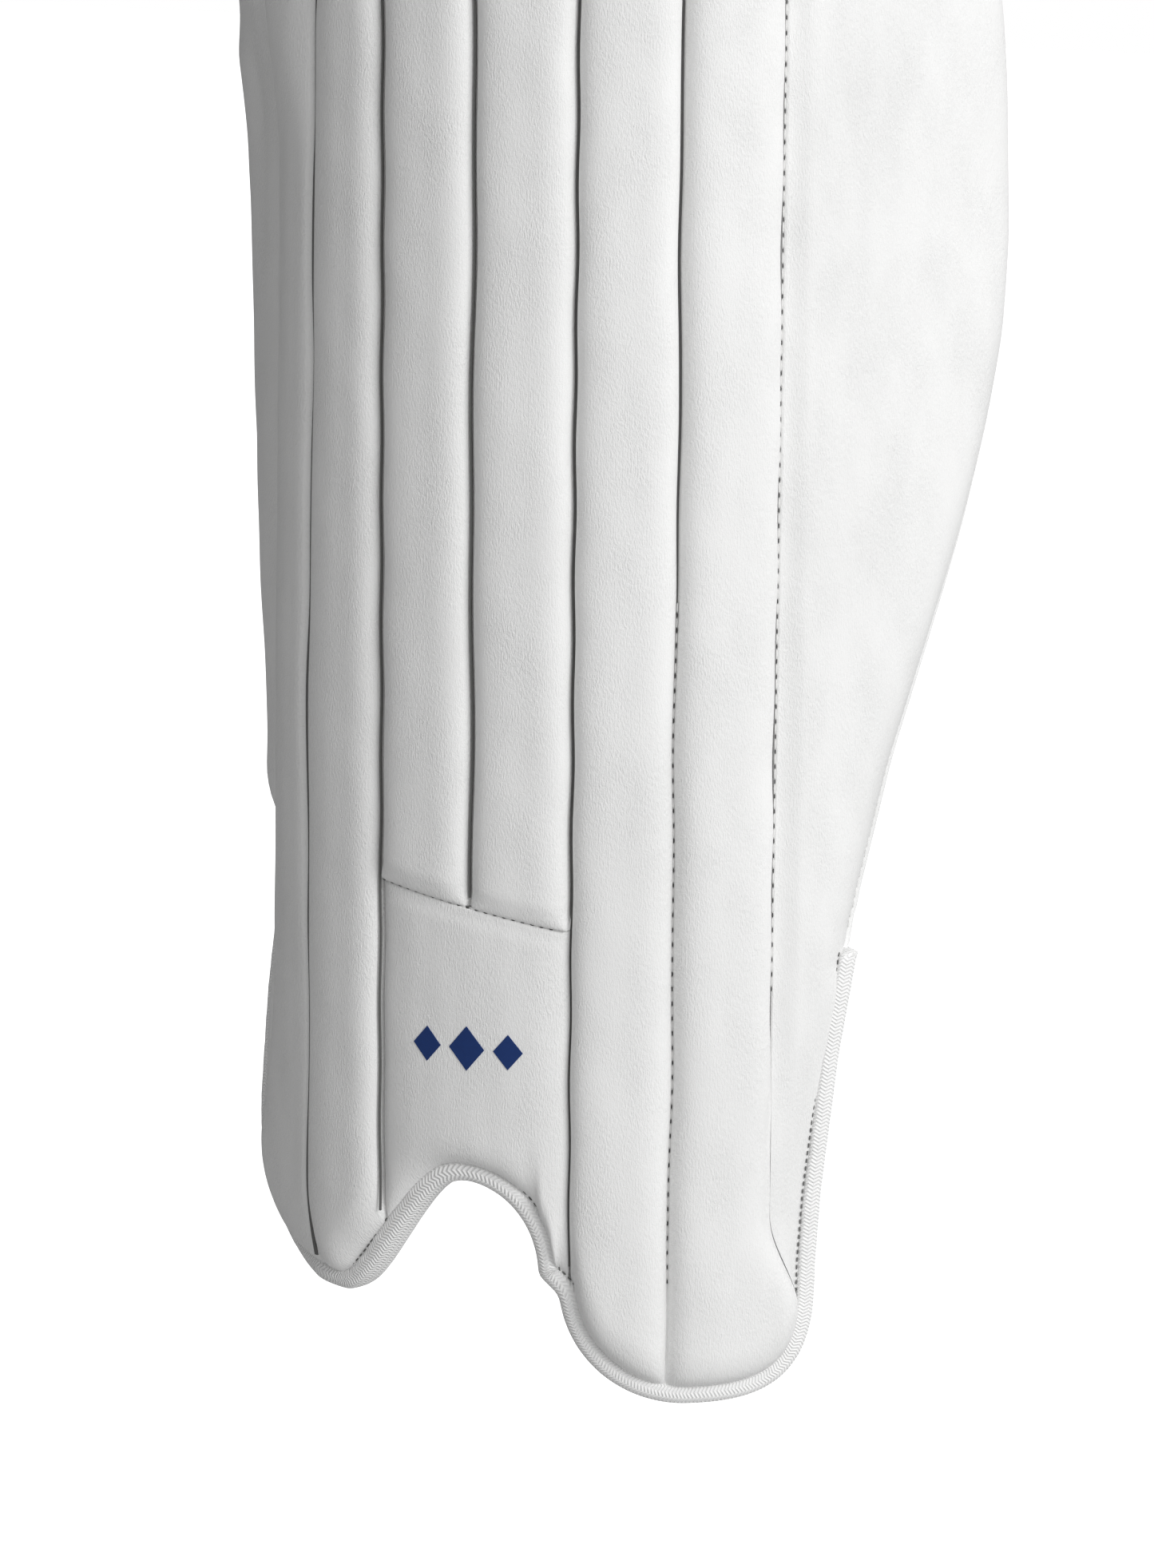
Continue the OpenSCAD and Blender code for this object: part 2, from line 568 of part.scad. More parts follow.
function thigh_column(k, u, inset, trim, flat = -1) =
    let (s = (k - 4 + u) * thigh_pitch, top = clear_of_thigh_edge(s, binding_w + 1.5))
    [for (j = [trim:len(THIGH_V) - 1 - trim])
        let (z = mix(thigh_foot, top, THIGH_V[j]),
             rise = roll_bulge(u) * end_fade(z - thigh_foot, 9) * end_fade(top - z, 14))
        at(s, z, flat >= 0 ? flat : groove_d + (thigh_crown_d - groove_d) * rise - inset)];

module thigh_face_cover() {
    columns = [for (k = [1:6], u = ROLL_U) [k, u], [6, 1]];
    color("white")
        slab([for (c = columns) thigh_column(c[0], c[1], 0, 0)],
             [for (c = columns) thigh_column(c[0], c[1], cover_t, 0)]);
}

module thigh_core(k) {
    columns = [for (i = [1:7]) ROLL_U[i]];
    color("lightyellow")
        slab([for (u = columns) thigh_column(k, u, cover_t + gap, 2)],
             [for (u = columns) thigh_column(k, u, 0, 2, padding_d + gap)]);
}

module thigh_layer(d0, d1) {
    function grid(d) =
        [for (t = [-1, -0.95, for (i = [-8:8]) i / 9, 0.95, 1])
            let (s = t * (thigh_half - layer_edge), top = clear_of_thigh_edge(s, layer_edge))
            [for (v = steps(6)) at(s, mix(thigh_z + joint_gap / 2, top, v), d)]];
    slab(grid(d1), grid(d0));
}

module thigh_lining() color("whitesmoke") thigh_layer(0, lining_t);
module thigh_padding() color("ivory") thigh_layer(lining_t + gap, padding_d);

thigh_side = [thigh_z + 1, thigh_edge(thigh_half) - 60, thigh_edge(thigh_half) - 20];
thigh_outline = concat(
    [for (z = thigh_side) [thigh_half, z]],
    [for (i = [-20:20]) let (s = -thigh_half * sin(90 * i / 20)) [s, thigh_edge(s)]],
    [for (i = [2:-1:0]) [-thigh_half, thigh_side[i]]]);

module thigh_binding() color("gainsboro") binding(thigh_outline, binding_w, -0.8, band_d, 1);

STRAPS = [["ankle", ankle_strap_z], ["calf", calf_strap_z], ["knee", knee_strap_z]];

face_cover(1, 2);  // inner_face_cover
face_cover(3, 4);  // centre_face_cover
face_cover(5, 6);  // outer_face_cover
instep_cover();
instep_core();
for (k = [1:6]) {
    shin_core(k);
    thigh_core(k);
}
margin_pad(-1, 76, inner_wing_z - 2);  // inner_margin_pad
margin_pad(1, 76, outer_wing_z - 2);  // outer_margin_pad
cane_rods();
shin_padding();
shin_lining();
shin_bolster(-1);  // inner_shin_bolster
shin_bolster(1);  // outer_shin_bolster
lower_binding();
wing_cover(-1);  // inner_wing_cover
wing_core(-1);  // inner_wing_core
wing_lining(-1);  // inner_wing_lining
wing_cover(1);  // outer_wing_cover
wing_core(1);  // outer_wing_core
wing_lining(1);  // outer_wing_lining
for (item = STRAPS) {
    loop_patch(item[1]);
    strap_anchor(item[1]);
    strap(item[1]);
    hook_patch(item[1]);
}
strap_pad(calf_strap_z);  // calf_strap_pad
for (i = [1:3]) {
    knee_roll_cover(i);
    knee_roll_core(i);
    knee_lining(i);
}
knee_pod(-1);  // inner_knee_pod
knee_pod(1);  // outer_knee_pod
thigh_face_cover();
thigh_padding();
thigh_lining();
thigh_binding();
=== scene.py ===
"""A white cricket leg pad: leather rolls, wings, knee rolls, thigh panel, binding and straps."""
import math

import bmesh
import bpy
import numpy as np
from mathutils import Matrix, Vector


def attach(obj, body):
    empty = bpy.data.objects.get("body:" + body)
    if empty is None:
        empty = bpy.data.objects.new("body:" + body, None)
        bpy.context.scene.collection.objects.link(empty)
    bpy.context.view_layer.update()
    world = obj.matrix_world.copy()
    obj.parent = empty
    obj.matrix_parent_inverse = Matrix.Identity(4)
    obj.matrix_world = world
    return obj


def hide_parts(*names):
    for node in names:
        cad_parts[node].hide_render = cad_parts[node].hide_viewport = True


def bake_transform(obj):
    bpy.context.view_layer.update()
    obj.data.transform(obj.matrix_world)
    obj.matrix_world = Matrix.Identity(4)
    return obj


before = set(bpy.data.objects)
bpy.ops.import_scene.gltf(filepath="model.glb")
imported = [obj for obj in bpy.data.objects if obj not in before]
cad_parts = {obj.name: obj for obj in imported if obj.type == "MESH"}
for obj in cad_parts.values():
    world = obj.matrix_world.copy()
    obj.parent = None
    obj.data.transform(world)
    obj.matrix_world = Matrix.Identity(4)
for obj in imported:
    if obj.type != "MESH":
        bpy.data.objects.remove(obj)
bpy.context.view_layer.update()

# ---- sizes, in millimetres
MM = 0.001
ROLL = 28.5                         # width of one vertical roll
KNEE_Z = 452.0                      # seam between the shin and the knee rolls
KNEE_H = 42.0                       # height of one knee roll
THIGH_Z = KNEE_Z + 3 * KNEE_H
PAD_H = THIGH_Z + 164.0
SHIN_TOP, WING_TOP = KNEE_Z - 1.0, KNEE_Z - 3
ANKLE_R, SHIN_TOP_R, THIGH_TOP_R = 118.5, 106.5, 180.0      # radii of the inner face
HALF_FACE = 3 * ROLL
GROOVE_D, CROWN_D, PADDING_D = 9.4, 16.0, 6.0
FOLD_A, FLARE_A, FLARE_W = 54.0, 16.5, 6.0          # the innermost roll folds back at its seam
OUTER_WING_R = 239.0
WING_D, WING_EDGE_D = 13.0, 2.6
OUTER_WING_FOOT, INNER_WING_FOOT = 150.0, 168.0
CURL_R, CURL_A = 40.0, 70.0         # radius of the inner wing's curl, and the angle it starts at
INNER_LOBE_Z, NOTCH_Z, STEP_Z, OUTER_SIDE_Z = 25.0, 68.0, 34.0, 42.0
OUTER_BINDING_Z, INNER_BINDING_Z = 138.0, 150.0
BINDING_W = 6.2
TAPE_REACH = BINDING_W - 1.2        # where the covers end, under the binding
KNEE_HALF, THIGH_HALF, THIGH_ROLL = 97.0, 102.0, 30.0
KNEE_EDGE_D, KNEE_CROWN_D, THIGH_CROWN_D = 6.0, 24.0, 18.0
LINING_D = 1.3                      # back of the covers of the wings and knee rolls
STRAP_W, STRAP_T = 38.0, 2.0
STRAPS = {"ankle": 197.0, "calf": 300.0, "knee": 405.0}
ANCHOR_R, ANCHOR_END_A, ANCHOR_REACH, HINGE_REACH = 40.0, 88.0, 24.0, 2.0
TAIL_D = WING_D + 3.7
TAIL_A, LEAVE_A, STRAP_START_A, BACK_R = 95.0, 118.0, 105.0, 82.0
LOOPS_A, LOOPS_END_A = 86.0, 119.0  # angles round the curl between which the loop tapes lie
STITCH_PITCH = 4.6


# ---- pad coordinates
# s is the distance round the face from its centre line, z the height, and d the distance
# outward from the inner face. All three may be arrays.
def mix(a, b, t):
    return a + (b - a) * t


def smooth(t):
    c = np.clip(t, 0, 1)
    return c * c * (3 - 2 * c)


def arch(t, n):
    """A hump that is 1 at t = 0 and 0 at t = 1 and -1: the larger n is, the squarer."""
    return np.sqrt(np.maximum(0, 1 - np.abs(t) ** n))


def front_r(z):
    return mix(ANKLE_R, SHIN_TOP_R, np.clip(z / KNEE_Z, 0, 1))


def wrap_r(z):
    thigh = mix(SHIN_TOP_R, THIGH_TOP_R, (z - KNEE_Z) / (PAD_H - KNEE_Z))
    return np.where(z <= KNEE_Z, front_r(z), thigh)


def smooth_interp(x, xs, ys):
    """Piecewise linear interpolation with its corners rounded off."""
    x = np.asarray(x, float)
    weights = np.cos(np.linspace(-1.3, 1.3, 13))
    near = [w * np.interp(x + step, xs, ys) for w, step in zip(weights, np.linspace(-9, 9, 13))]
    return sum(near) / weights.sum()


def fold_s(z):
    """s of the seam where the innermost roll folds back."""
    return 2 * ROLL - 3 * smooth((z - 190) / 230) - 6 * np.clip((60 - z) / 32, 0, 1) ** 2


def side_heading(z):
    """Degrees that the innermost roll faces to the side."""
    low = mix(FOLD_A - 11, FOLD_A, smooth((z - 60) / 150))
    return mix(low, math.degrees(HALF_FACE / SHIN_TOP_R), smooth((z - 370) / 90))


def side_crown_d(z):
    """Front of the innermost roll, which is thinner low down."""
    return mix(mix(13.5, 16.5, smooth((z - 60) / 150)), CROWN_D, smooth((z - 400) / 50))


def fold_w(z):
    """Width over which the innermost roll bends: at the knee it is the whole roll."""
    return (HALF_FACE - fold_s(z)) * mix(0.14, 1.0, smooth((z - 370) / (KNEE_Z - 370)))


def flare(z):
    """Degrees that the inner wing turns back out beyond the innermost roll."""
    return FLARE_A * np.maximum(0.001, 1 - ((z - 305) / 170) ** 2)


def inner_wing_r(z):
    """Radius of the inner wing's bend, which is tightest near its foot."""
    widening = mix(45, 90, np.clip((z - 170) / 270, 0, 1))
    return np.where(z < 170, mix(260, 45, smooth((z - 120) / 50)), widening)


def wing_bend(z):
    """Length along which the inner wing bends back towards the leg."""
    return np.radians(CURL_A - side_heading(z) + flare(z)) * inner_wing_r(z)


def chain(z, left):
    """Arcs (length, radius) that the inner face follows from its centre line."""
    r1 = wrap_r(z)
    if not left:
        return [(HALF_FACE, r1), (1e4, np.where(z > KNEE_Z, r1, OUTER_WING_R))]
    fold_r = fold_w(z) / (np.radians(side_heading(z)) - fold_s(z) / r1)
    arcs = [(fold_s(z), r1), (fold_w(z), fold_r), (HALF_FACE - fold_s(z) - fold_w(z), 1e5),
            (FLARE_W, -FLARE_W / np.radians(flare(z))), (wing_bend(z), inner_wing_r(z)), (1e4, CURL_R)]
    return [(length, np.where(z > KNEE_Z, r1, r)) for length, r in arcs]


def at(s, z, d):
    """Points in millimetres in the row frame, shape (..., 3)."""
    s, z, d = np.broadcast_arrays(np.asarray(s, float), np.asarray(z, float), np.asarray(d, float))
    sides = []
    for left in (False, True):
        rest, x, y, a = np.abs(s), 0 * s, 0 * s, 0 * s
        for length, r in chain(z, left):
            turn = np.clip(rest, 0, length) / r
            x = x + r * (np.sin(a + turn) - np.sin(a))
            y = y + r * (np.cos(a) - np.cos(a + turn))
            a = a + turn
            rest = rest - length
        sides.append((x + d * np.sin(a), y - d * np.cos(a)))
    x = np.where(s < 0, -sides[1][0], sides[0][0])
    y = np.where(s < 0, sides[1][1], sides[0][1])
    return np.stack([x, y - front_r(z), z], axis=-1)


def lobe(u, n):
    """A rounded corner: rises from 0 at u = 0 to 1 at u = 1, the later the larger n is."""
    return 1 - (1 - np.clip(u, 0, 1) ** n) ** (1 / n)


def lower_edge(s):
    """Height of the pad's lower edge at s: inner lobe, boot notch, outer lobe."""
    s = np.asarray(s, float)
    return np.select(
        [s < -46, s < -3, s < 19.5, s < 26, s < 64],
        [INNER_LOBE_Z + 45 * lobe((-46 - s) / 59, 2.3),
         mix(INNER_LOBE_Z, NOTCH_Z, smooth((s + 46) / 43)),
         NOTCH_Z - 27.5 * lobe((s + 3) / 22.5, 2),
         mix(NOTCH_Z - 27.5, STEP_Z, (s - 19.5) / 6.5),
         38 * lobe((64 - s) / 38.5, 2)],
        OUTER_SIDE_Z * lobe((s - 64) / 38.5, 3))


def outer_side(z):
    """s of the pad's outer side below the free wing, and of the outer lobe under it."""
    side = np.interp(z, [OUTER_SIDE_Z, 64, 105, OUTER_WING_FOOT], [102.5, 104, 109, 117])
    in_lobe = 64 + 38.5 * (1 - np.clip(1 - z / OUTER_SIDE_Z, 0, 1) ** 3) ** (1 / 3)
    return np.where(z < OUTER_SIDE_Z, in_lobe, side)


def inner_side(z):
    """Distance round the face to the pad's inner side, and to the inner lobe under it."""
    side = np.interp(z, [70, 110, INNER_WING_FOOT], [105, 103, 97])
    in_lobe = 46 + 59 * (1 - np.clip(1 - (z - INNER_LOBE_Z) / 45, 0, 1) ** 2.3) ** (1 / 2.3)
    return np.where(z < 70, in_lobe, side)


def outer_wing_edge(z):
    return smooth_interp(z, [150, 172, 196, 235, 263, 295, 322, 351, 400, 428, 441, 452],
                         [117, 123, 129.5, 144, 154.5, 164.5, 171, 173.5, 172, 169, 162, 146])


def inner_wing_edge(z):
    return smooth_interp(z, [168, 177, 214, 300, 405, 432, 452], [112, 140, 150, 161, 175, 172, 156])


def instep_seam(s):
    """Height of the slanting seam above the instep panel."""
    return mix(161.0, 150.0, (s + ROLL) / (2 * ROLL))


def thigh_edge(s):
    return PAD_H - 46 * np.minimum(1, np.abs(s) / THIGH_HALF) ** 4


def spread(q, z):
    """s of a column of the face: the inner ones follow the fold, and the outermost fill the lobes."""
    out = np.minimum(0, q + 2 * ROLL) / ROLL
    middle = np.clip(-q - ROLL, 0, ROLL) / ROLL
    fill_z = np.where(q < 0, (z - 55) / 60, (z - 26) / 34)
    fill = np.maximum(0, np.abs(q) / ROLL - 2) * 11 * (1 - smooth(fill_z))
    return q + (2 * ROLL - fold_s(z)) * (middle + out) + np.sign(q) * fill


def end_fade(x, length):
    """A rounded end: 0 at x = 0, and 1 from x = length on."""
    return arch(1 - np.clip(x / length, 0, 1), 2)


def wave(x, *terms):
    """A gentle unevenness: a sum of sines, each (amplitude, period, phase)."""
    return sum(a * np.sin(2 * math.pi * x / p + f) for a, p, f in terms)


# ---- meshes
def make_object(name, verts, faces, uvs=None, sharp=55):
    """A mesh object from points in millimetres; uvs are one pair per vertex, in metres."""
    mesh = bpy.data.meshes.new(name)
    mesh.from_pydata((np.asarray(verts) * MM).tolist(), [], [list(map(int, f)) for f in faces])
    if uvs is not None:
        layer = mesh.uv_layers.new(name="pad")
        loops = np.zeros(len(mesh.loops), int)
        mesh.loops.foreach_get("vertex_index", loops)
        layer.data.foreach_set("uv", (np.asarray(uvs, float)[loops] * MM).ravel())
    mesh.validate()
    mesh.shade_smooth()
    if sharp:
        mesh.set_sharp_from_angle(angle=math.radians(sharp))
    obj = bpy.data.objects.new(name, mesh)
    bpy.context.scene.collection.objects.link(obj)
    return obj


def grid_faces(nu, nv, start=0, flip=False):
    i, j = np.meshgrid(np.arange(nu - 1), np.arange(nv - 1), indexing="ij")
    a = start + (i * nv + j).ravel()
    quads = np.stack([a, a + nv, a + nv + 1, a + 1], axis=1)
    return quads[:, ::-1] if flip else quads


def solid(name, front, back, s, z, flip=False, **kw):
    """A closed solid between two grids of points, with (s, z) as its UV."""
    nu, nv = front.shape[:2]
    n = nu * nv
    faces = [grid_faces(nu, nv, 0, flip), grid_faces(nu, nv, n, not flip)]
    rim = np.concatenate([
        np.arange(nu) * nv,
        (nu - 1) * nv + np.arange(1, nv),
        (np.arange(nu - 1) * nv + nv - 1)[::-1],
        np.arange(1, nv - 1)[::-1]])
    nxt = np.roll(rim, -1)
    walls = np.stack([rim, rim + n, nxt + n, nxt], axis=1)
    faces.append(walls[:, ::-1] if flip else walls)
    verts = np.concatenate([front.reshape(-1, 3), back.reshape(-1, 3)])
    uv = np.stack(np.broadcast_arrays(s, z), axis=-1).reshape(-1, 2)
    return make_object(name, verts, np.concatenate(faces), np.concatenate([uv, uv]), **kw)


def ease(n):
    """Values from 0 to 1, closer together at both ends."""
    return 0.5 - 0.5 * np.cos(np.linspace(0, math.pi, n))


def run_of(points):
    """Distance covered at each point of a run of points."""
    return np.concatenate([[0], np.cumsum(np.linalg.norm(np.diff(points, axis=0), axis=1))])


def interp_points(places, run, points):
    return np.stack([np.interp(places, run, column) for column in points.T], axis=1)


def resample(points, step):
    """Points spaced evenly along a run of points."""
    run = run_of(points)
    places = np.linspace(0, run[-1], max(2, int(run[-1] / step)))
    return interp_points(places, run, points)


def soften(points, reach):
    """Rounds the corners of a run of even points; its ends stay."""
    padded = np.concatenate([np.repeat(points[:1], reach, 0), points, np.repeat(points[-1:], reach, 0)])
    weights = np.cos(np.linspace(-1.3, 1.3, 2 * reach + 1))
    weights /= weights.sum()
    soft = sum(w * padded[i:i + len(points)] for i, w in enumerate(weights))
    soft[0], soft[-1] = points[0], points[-1]
    return soft


def inward_of(outline, turn):
    """Unit directions in (s, z) that point from an outline into the pad."""
    ahead = np.gradient(outline, axis=0)
    ahead /= np.linalg.norm(ahead, axis=1)[:, None]
    return turn * np.stack([-ahead[:, 1], ahead[:, 0]], axis=1)


def edge_tape(name, outline, turn, section, taper=0.0):
    """A tape folded over the edge that follows an outline of (s, z) points.

    section is a closed ring of (distance in from the edge, d). turn is 1 or -1, the side the
    pad is on. taper shortens the tape's reach over its last millimetres, to round its ends.
    """
    inward = inward_of(outline, turn)
    section = np.asarray(section, float)
    run = run_of(outline)
    from_end = np.minimum(run, run[-1] - run)
    reach = 0.45 + 0.55 * end_fade(from_end, taper) if taper else 1
    reach = np.broadcast_to(reach, run.shape)[:, None]
    w, d = section[:, 0][None, :] * reach, section[:, 1][None, :]
    ripple = wave(run, (0.10, 37, 0), (0.07, 11.3, 1), (0.05, 5.1, 2))[:, None]
    w = w + np.where(w > 3, ripple, 0)
    thin = 1 - 0.16 * smooth((-outline[:, :1] - 60) / 30)
    d = 4 + (d - 4) * (0.9 + 0.1 * reach) * thin + 0.5 * ripple
    points = at(outline[:, :1] + w * inward[:, :1], outline[:, 1:] + w * inward[:, 1:], d)
    n, k = points.shape[:2]
    around = run_of(section)
    i, j = np.meshgrid(np.arange(n - 1), np.arange(k), indexing="ij")
    a, b = (i * k + j).ravel(), (i * k + (j + 1) % k).ravel()
    faces = np.stack([a, b, b + k, a + k], axis=1).tolist()
    faces += [list(range(k))[::-1], [(n - 1) * k + m for m in range(k)]]
    uv = np.stack(np.meshgrid(run, around, indexing="ij"), axis=-1).reshape(-1, 2)
    return fix_normals(make_object(name, points.reshape(-1, 3), faces, uv, sharp=65))


def fix_normals(obj):
    bm = bmesh.new()
    bm.from_mesh(obj.data)
    bmesh.ops.recalc_face_normals(bm, faces=bm.faces)
    bm.to_mesh(obj.data)
    bm.free()
    return obj


def beads(name, centres, along, out, length, width, height):
    """Rows of small rounded threads, one at each centre, lying along 'along'."""
    ring = 6
    stations = [(-0.5, 0.25), (-0.38, 0.8), (0, 1), (0.38, 0.8), (0.5, 0.25)]     # (place, share of width)
    verts, faces = [], []
    for c, a, o in zip(centres, along, out):
        a = a / np.linalg.norm(a)
        o = o - a * np.dot(o, a)
        o = o / np.linalg.norm(o)
        b = np.cross(a, o)
        base = len(verts)
        for t, r in stations:
            for k in range(ring):
                f = 2 * math.pi * k / ring
                verts.append(c + a * t * length + b * math.cos(f) * width / 2 * r
                             + o * math.sin(f) * height / 2 * r)
        for i in range(len(stations) - 1):
            for k in range(ring):
                p, q = base + i * ring + k, base + i * ring + (k + 1) % ring
                faces.append([p, q, q + ring, p + ring])
        faces.append([base + k for k in range(ring)][::-1])
        last = base + (len(stations) - 1) * ring
        faces.append([last + k for k in range(ring)])
    return make_object(name, verts, faces, sharp=0)


def along_line(points, pitch):
    """Even stations along a run of points: their places and headings."""
    run = run_of(points)
    places = np.arange(0.5 * pitch, run[-1], pitch)
    behind, centres, ahead = (interp_points(places + step, run, points) for step in (-0.5, 0, 0.5))
    return centres, ahead - behind


def over_line(line, over, pitch):
    """Stations along a line as in along_line, and the way out to the line 'over' at each."""
    centres, along = along_line(line, pitch)
    nearest = np.argmin(((centres[:, None] - line[None]) ** 2).sum(-1), axis=1)
    return centres, along, (over - line)[nearest]


# ---- materials
class Nodes:
    """Builds a Principled material, with a short call for each node."""

    def __init__(self, name, color, roughness, specular=0.4):
        self.mat = bpy.data.materials.new(name)
        self.mat.use_nodes = True
        self.tree = self.mat.node_tree
        self.bsdf = self.tree.nodes["Principled BSDF"]
        self.bsdf.inputs["Base Color"].default_value = (*color, 1)
        self.bsdf.inputs["Roughness"].default_value = roughness
        self.bsdf.inputs["Specular IOR Level"].default_value = specular

    def node(self, kind, **values):
        n = self.tree.nodes.new("ShaderNode" + kind)
        for key, value in values.items():
            if key in n.inputs:
                n.inputs[key].default_value = value
            else:
                setattr(n, key, value)
        return n

    def link(self, a, b):
        self.tree.links.new(a, b)

    def coords(self, scale=(1, 1, 1), use_uv=True):
        """Metres along the cloth, or in the object's own frame, times a scale."""
        tc = self.node("TexCoord")
        mapping = self.node("Mapping")
        mapping.inputs["Scale"].default_value = scale
        self.link(tc.outputs["UV" if use_uv else "Object"], mapping.inputs["Vector"])
        return mapping.outputs["Vector"]

    def along_and_across(self, use_uv=True):
        parts = self.node("SeparateXYZ")
        self.link(self.coords(use_uv=use_uv), parts.inputs[0])
        return parts.outputs[0], parts.outputs[1]

    def noise(self, scale, detail, roughness, use_uv=True):
        """Noise with so many grains to the metre, one number for each direction or one for all."""
        scale = scale if isinstance(scale, tuple) else (scale,) * 3
        n = self.node("TexNoise", Scale=1.0, Detail=detail, Roughness=roughness)
        self.link(self.coords(scale, use_uv), n.inputs["Vector"])
        return n.outputs["Fac"]

    def ripple(self, value, period):
        """A sine of a length in metres, with its period in millimetres."""
        return self.maths("SINE", self.maths("MULTIPLY", value, 2 * math.pi / (period * MM)), 0)

    def ramp(self, fac, low, high, a=0.0, b=1.0):
        n = self.node("MapRange", **{"From Min": low, "From Max": high, "To Min": a, "To Max": b})
        self.link(fac, n.inputs["Value"])
        return n.outputs["Result"]

    def maths(self, operation, a, b):
        n = self.node("Math", operation=operation)
        for i, value in enumerate((a, b)):
            if isinstance(value, (int, float)):
                n.inputs[i].default_value = value
            else:
                self.link(value, n.inputs[i])
        return n.outputs[0]

    def bump(self, height, strength, distance, under=None):
        n = self.node("Bump", Strength=strength, Distance=distance)
        self.link(height, n.inputs["Height"])
        if under is not None:
            self.link(under, n.inputs["Normal"])
        return n.outputs["Normal"]

    def tint(self, fac, dark, light):
        n = self.node("Mix", data_type="RGBA")
        n.inputs[6].default_value = (*dark, 1)
        n.inputs[7].default_value = (*light, 1)
        self.link(fac, n.inputs[0])
        self.link(n.outputs[2], self.bsdf.inputs["Base Color"])

    def finish(self, normal=None, roughness=None):
        if normal is not None:
            self.link(normal, self.bsdf.inputs["Normal"])
        if roughness is not None:
            self.link(roughness, self.bsdf.inputs["Roughness"])
        return self.mat


def leather(name, light, dark):
    """Coated leather: short wrinkles that run up the pad, a fine pebble and faint handling marks."""
    m = Nodes(name, light, 0.5, 0.35)
    wrinkles = m.noise((2300, 620, 1400), 3.0, 0.6)
    pebble = m.noise((3200, 2600, 3000), 2.0, 0.5)
    patches = m.noise((60, 24, 40), 3.0, 0.6)
    strength = m.ramp(patches, 0.35, 0.65, 0.35, 1.0)
    height = m.maths("MULTIPLY", m.ramp(wrinkles, 0.3, 0.75), strength)
    normal = m.bump(height, 0.7, 0.0003)
    normal = m.bump(pebble, 0.5, 0.00015, normal)
    smudge = m.noise((22, 9, 15), 5.0, 0.6)
    m.tint(m.ramp(smudge, 0.25, 0.6), dark, light)
    return m.finish(normal, m.ramp(patches, 0.3, 0.7, 0.42, 0.56))


def woven(name, light, dark, pitch, use_uv=True, depth=0.00018):
    """A plain weave: two crossed sets of threads at a pitch in millimetres."""
    m = Nodes(name, light, 0.85, 0.2)
    along, across = m.along_and_across(use_uv)
    weave = m.maths("MULTIPLY", m.ripple(along, pitch), m.ripple(across, pitch))
    fuzz = m.noise(900, 3.0, 0.6, use_uv)
    height = m.maths("ADD", m.ramp(weave, -1, 1, 0, 0.8), m.maths("MULTIPLY", fuzz, 0.5))
    tone = m.noise(45, 4.0, 0.6, use_uv)
    # painted shade: the threads are coloured darker where the weave is low, with random tone on top
    shade = m.maths("ADD", m.ramp(weave, -1, 1, 0, 0.45), m.maths("MULTIPLY", tone, 0.55))
    m.tint(m.ramp(shade, 0.15, 0.75), dark, light)
    m.bsdf.inputs["Sheen Weight"].default_value = 0.25
    m.bsdf.inputs["Sheen Roughness"].default_value = 0.5
    return m.finish(m.bump(height, 0.7, depth))


def ribbed(name, light, dark, rib):
    """Knitted tape: ribs across the tape, each broken into two slanting columns of loops."""
    column = 1.6
    m = Nodes(name, light, 0.85, 0.2)
    along, across = m.along_and_across()
    zigzag = m.maths("PINGPONG", across, column * MM)
    slanted = m.maths("ADD", along, m.maths("MULTIPLY", zigzag, 0.55))
    fuzz = m.noise(1500, 3.0, 0.6)
    columns = m.maths("MULTIPLY", m.ripple(across, column), 0.08)
    height = m.maths("ADD", m.ramp(m.ripple(slanted, rib), -1, 1, 0, 1), columns)
    height = m.maths("ADD", height, m.maths("MULTIPLY", fuzz, 0.4))
    # painted shade: the tape is coloured darker where its ribs are low, in place of the shade in the rib
    # troughs
    m.tint(m.ramp(height, 0.15, 1.1), dark, light)
    m.bsdf.inputs["Sheen Weight"].default_value = 0.2
    return m.finish(m.bump(height, 0.7, 0.0004))


def fuzzy(name, light, dark, scale, depth):
    """Brushed or hooked pile."""
    m = Nodes(name, light, 0.95, 0.15)
    pile = m.noise(scale, 4.0, 0.7)
    m.tint(m.ramp(pile, 0.3, 0.7), dark, light)
    m.bsdf.inputs["Sheen Weight"].default_value = 0.35
    return m.finish(m.bump(pile, 0.8, depth))


def plain(name, color, roughness, grain=900.0, depth=0.00005):
    """A smooth finish with a trace of grain, for thread, print and the painted shade of needle holes and
    seams.
    """
    m = Nodes(name, color, roughness, 0.3)
    speckle = m.noise(grain, 2.0, 0.5, use_uv=False)
    m.tint(speckle, tuple(0.85 * c for c in color), color)
    return m.finish(m.bump(speckle, 0.3, depth))


LEATHER = leather("white_leather", (0.87, 0.87, 0.865), (0.82, 0.82, 0.815))
LINING_TONES = (0.80, 0.80, 0.79), (0.66, 0.66, 0.65)
LINING = woven("lining_cotton", *LINING_TONES, 0.9)
SOFT_LINING = woven("lining_cotton_moulded", *LINING_TONES, 0.9, use_uv=False)
TAPE = ribbed("edge_tape", (0.97, 0.97, 0.965), (0.86, 0.86, 0.855), 1.15)
WEBBING = woven("strap_webbing", (0.83, 0.83, 0.82), (0.66, 0.66, 0.65), 1.3, depth=0.0003)
HOOKS = fuzzy("hook_tape", (0.70, 0.70, 0.69), (0.45, 0.45, 0.44), 1800.0, 0.0006)
LOOPS = fuzzy("loop_tape", (0.80, 0.80, 0.79), (0.62, 0.62, 0.61), 900.0, 0.0005)
THREAD = plain("thread", (0.80, 0.80, 0.79), 0.6)
# painted shade: the near-black of the needle holes between stitches
HOLE_SHADE = plain("needle_hole_shade", (0.10, 0.10, 0.10), 0.9)
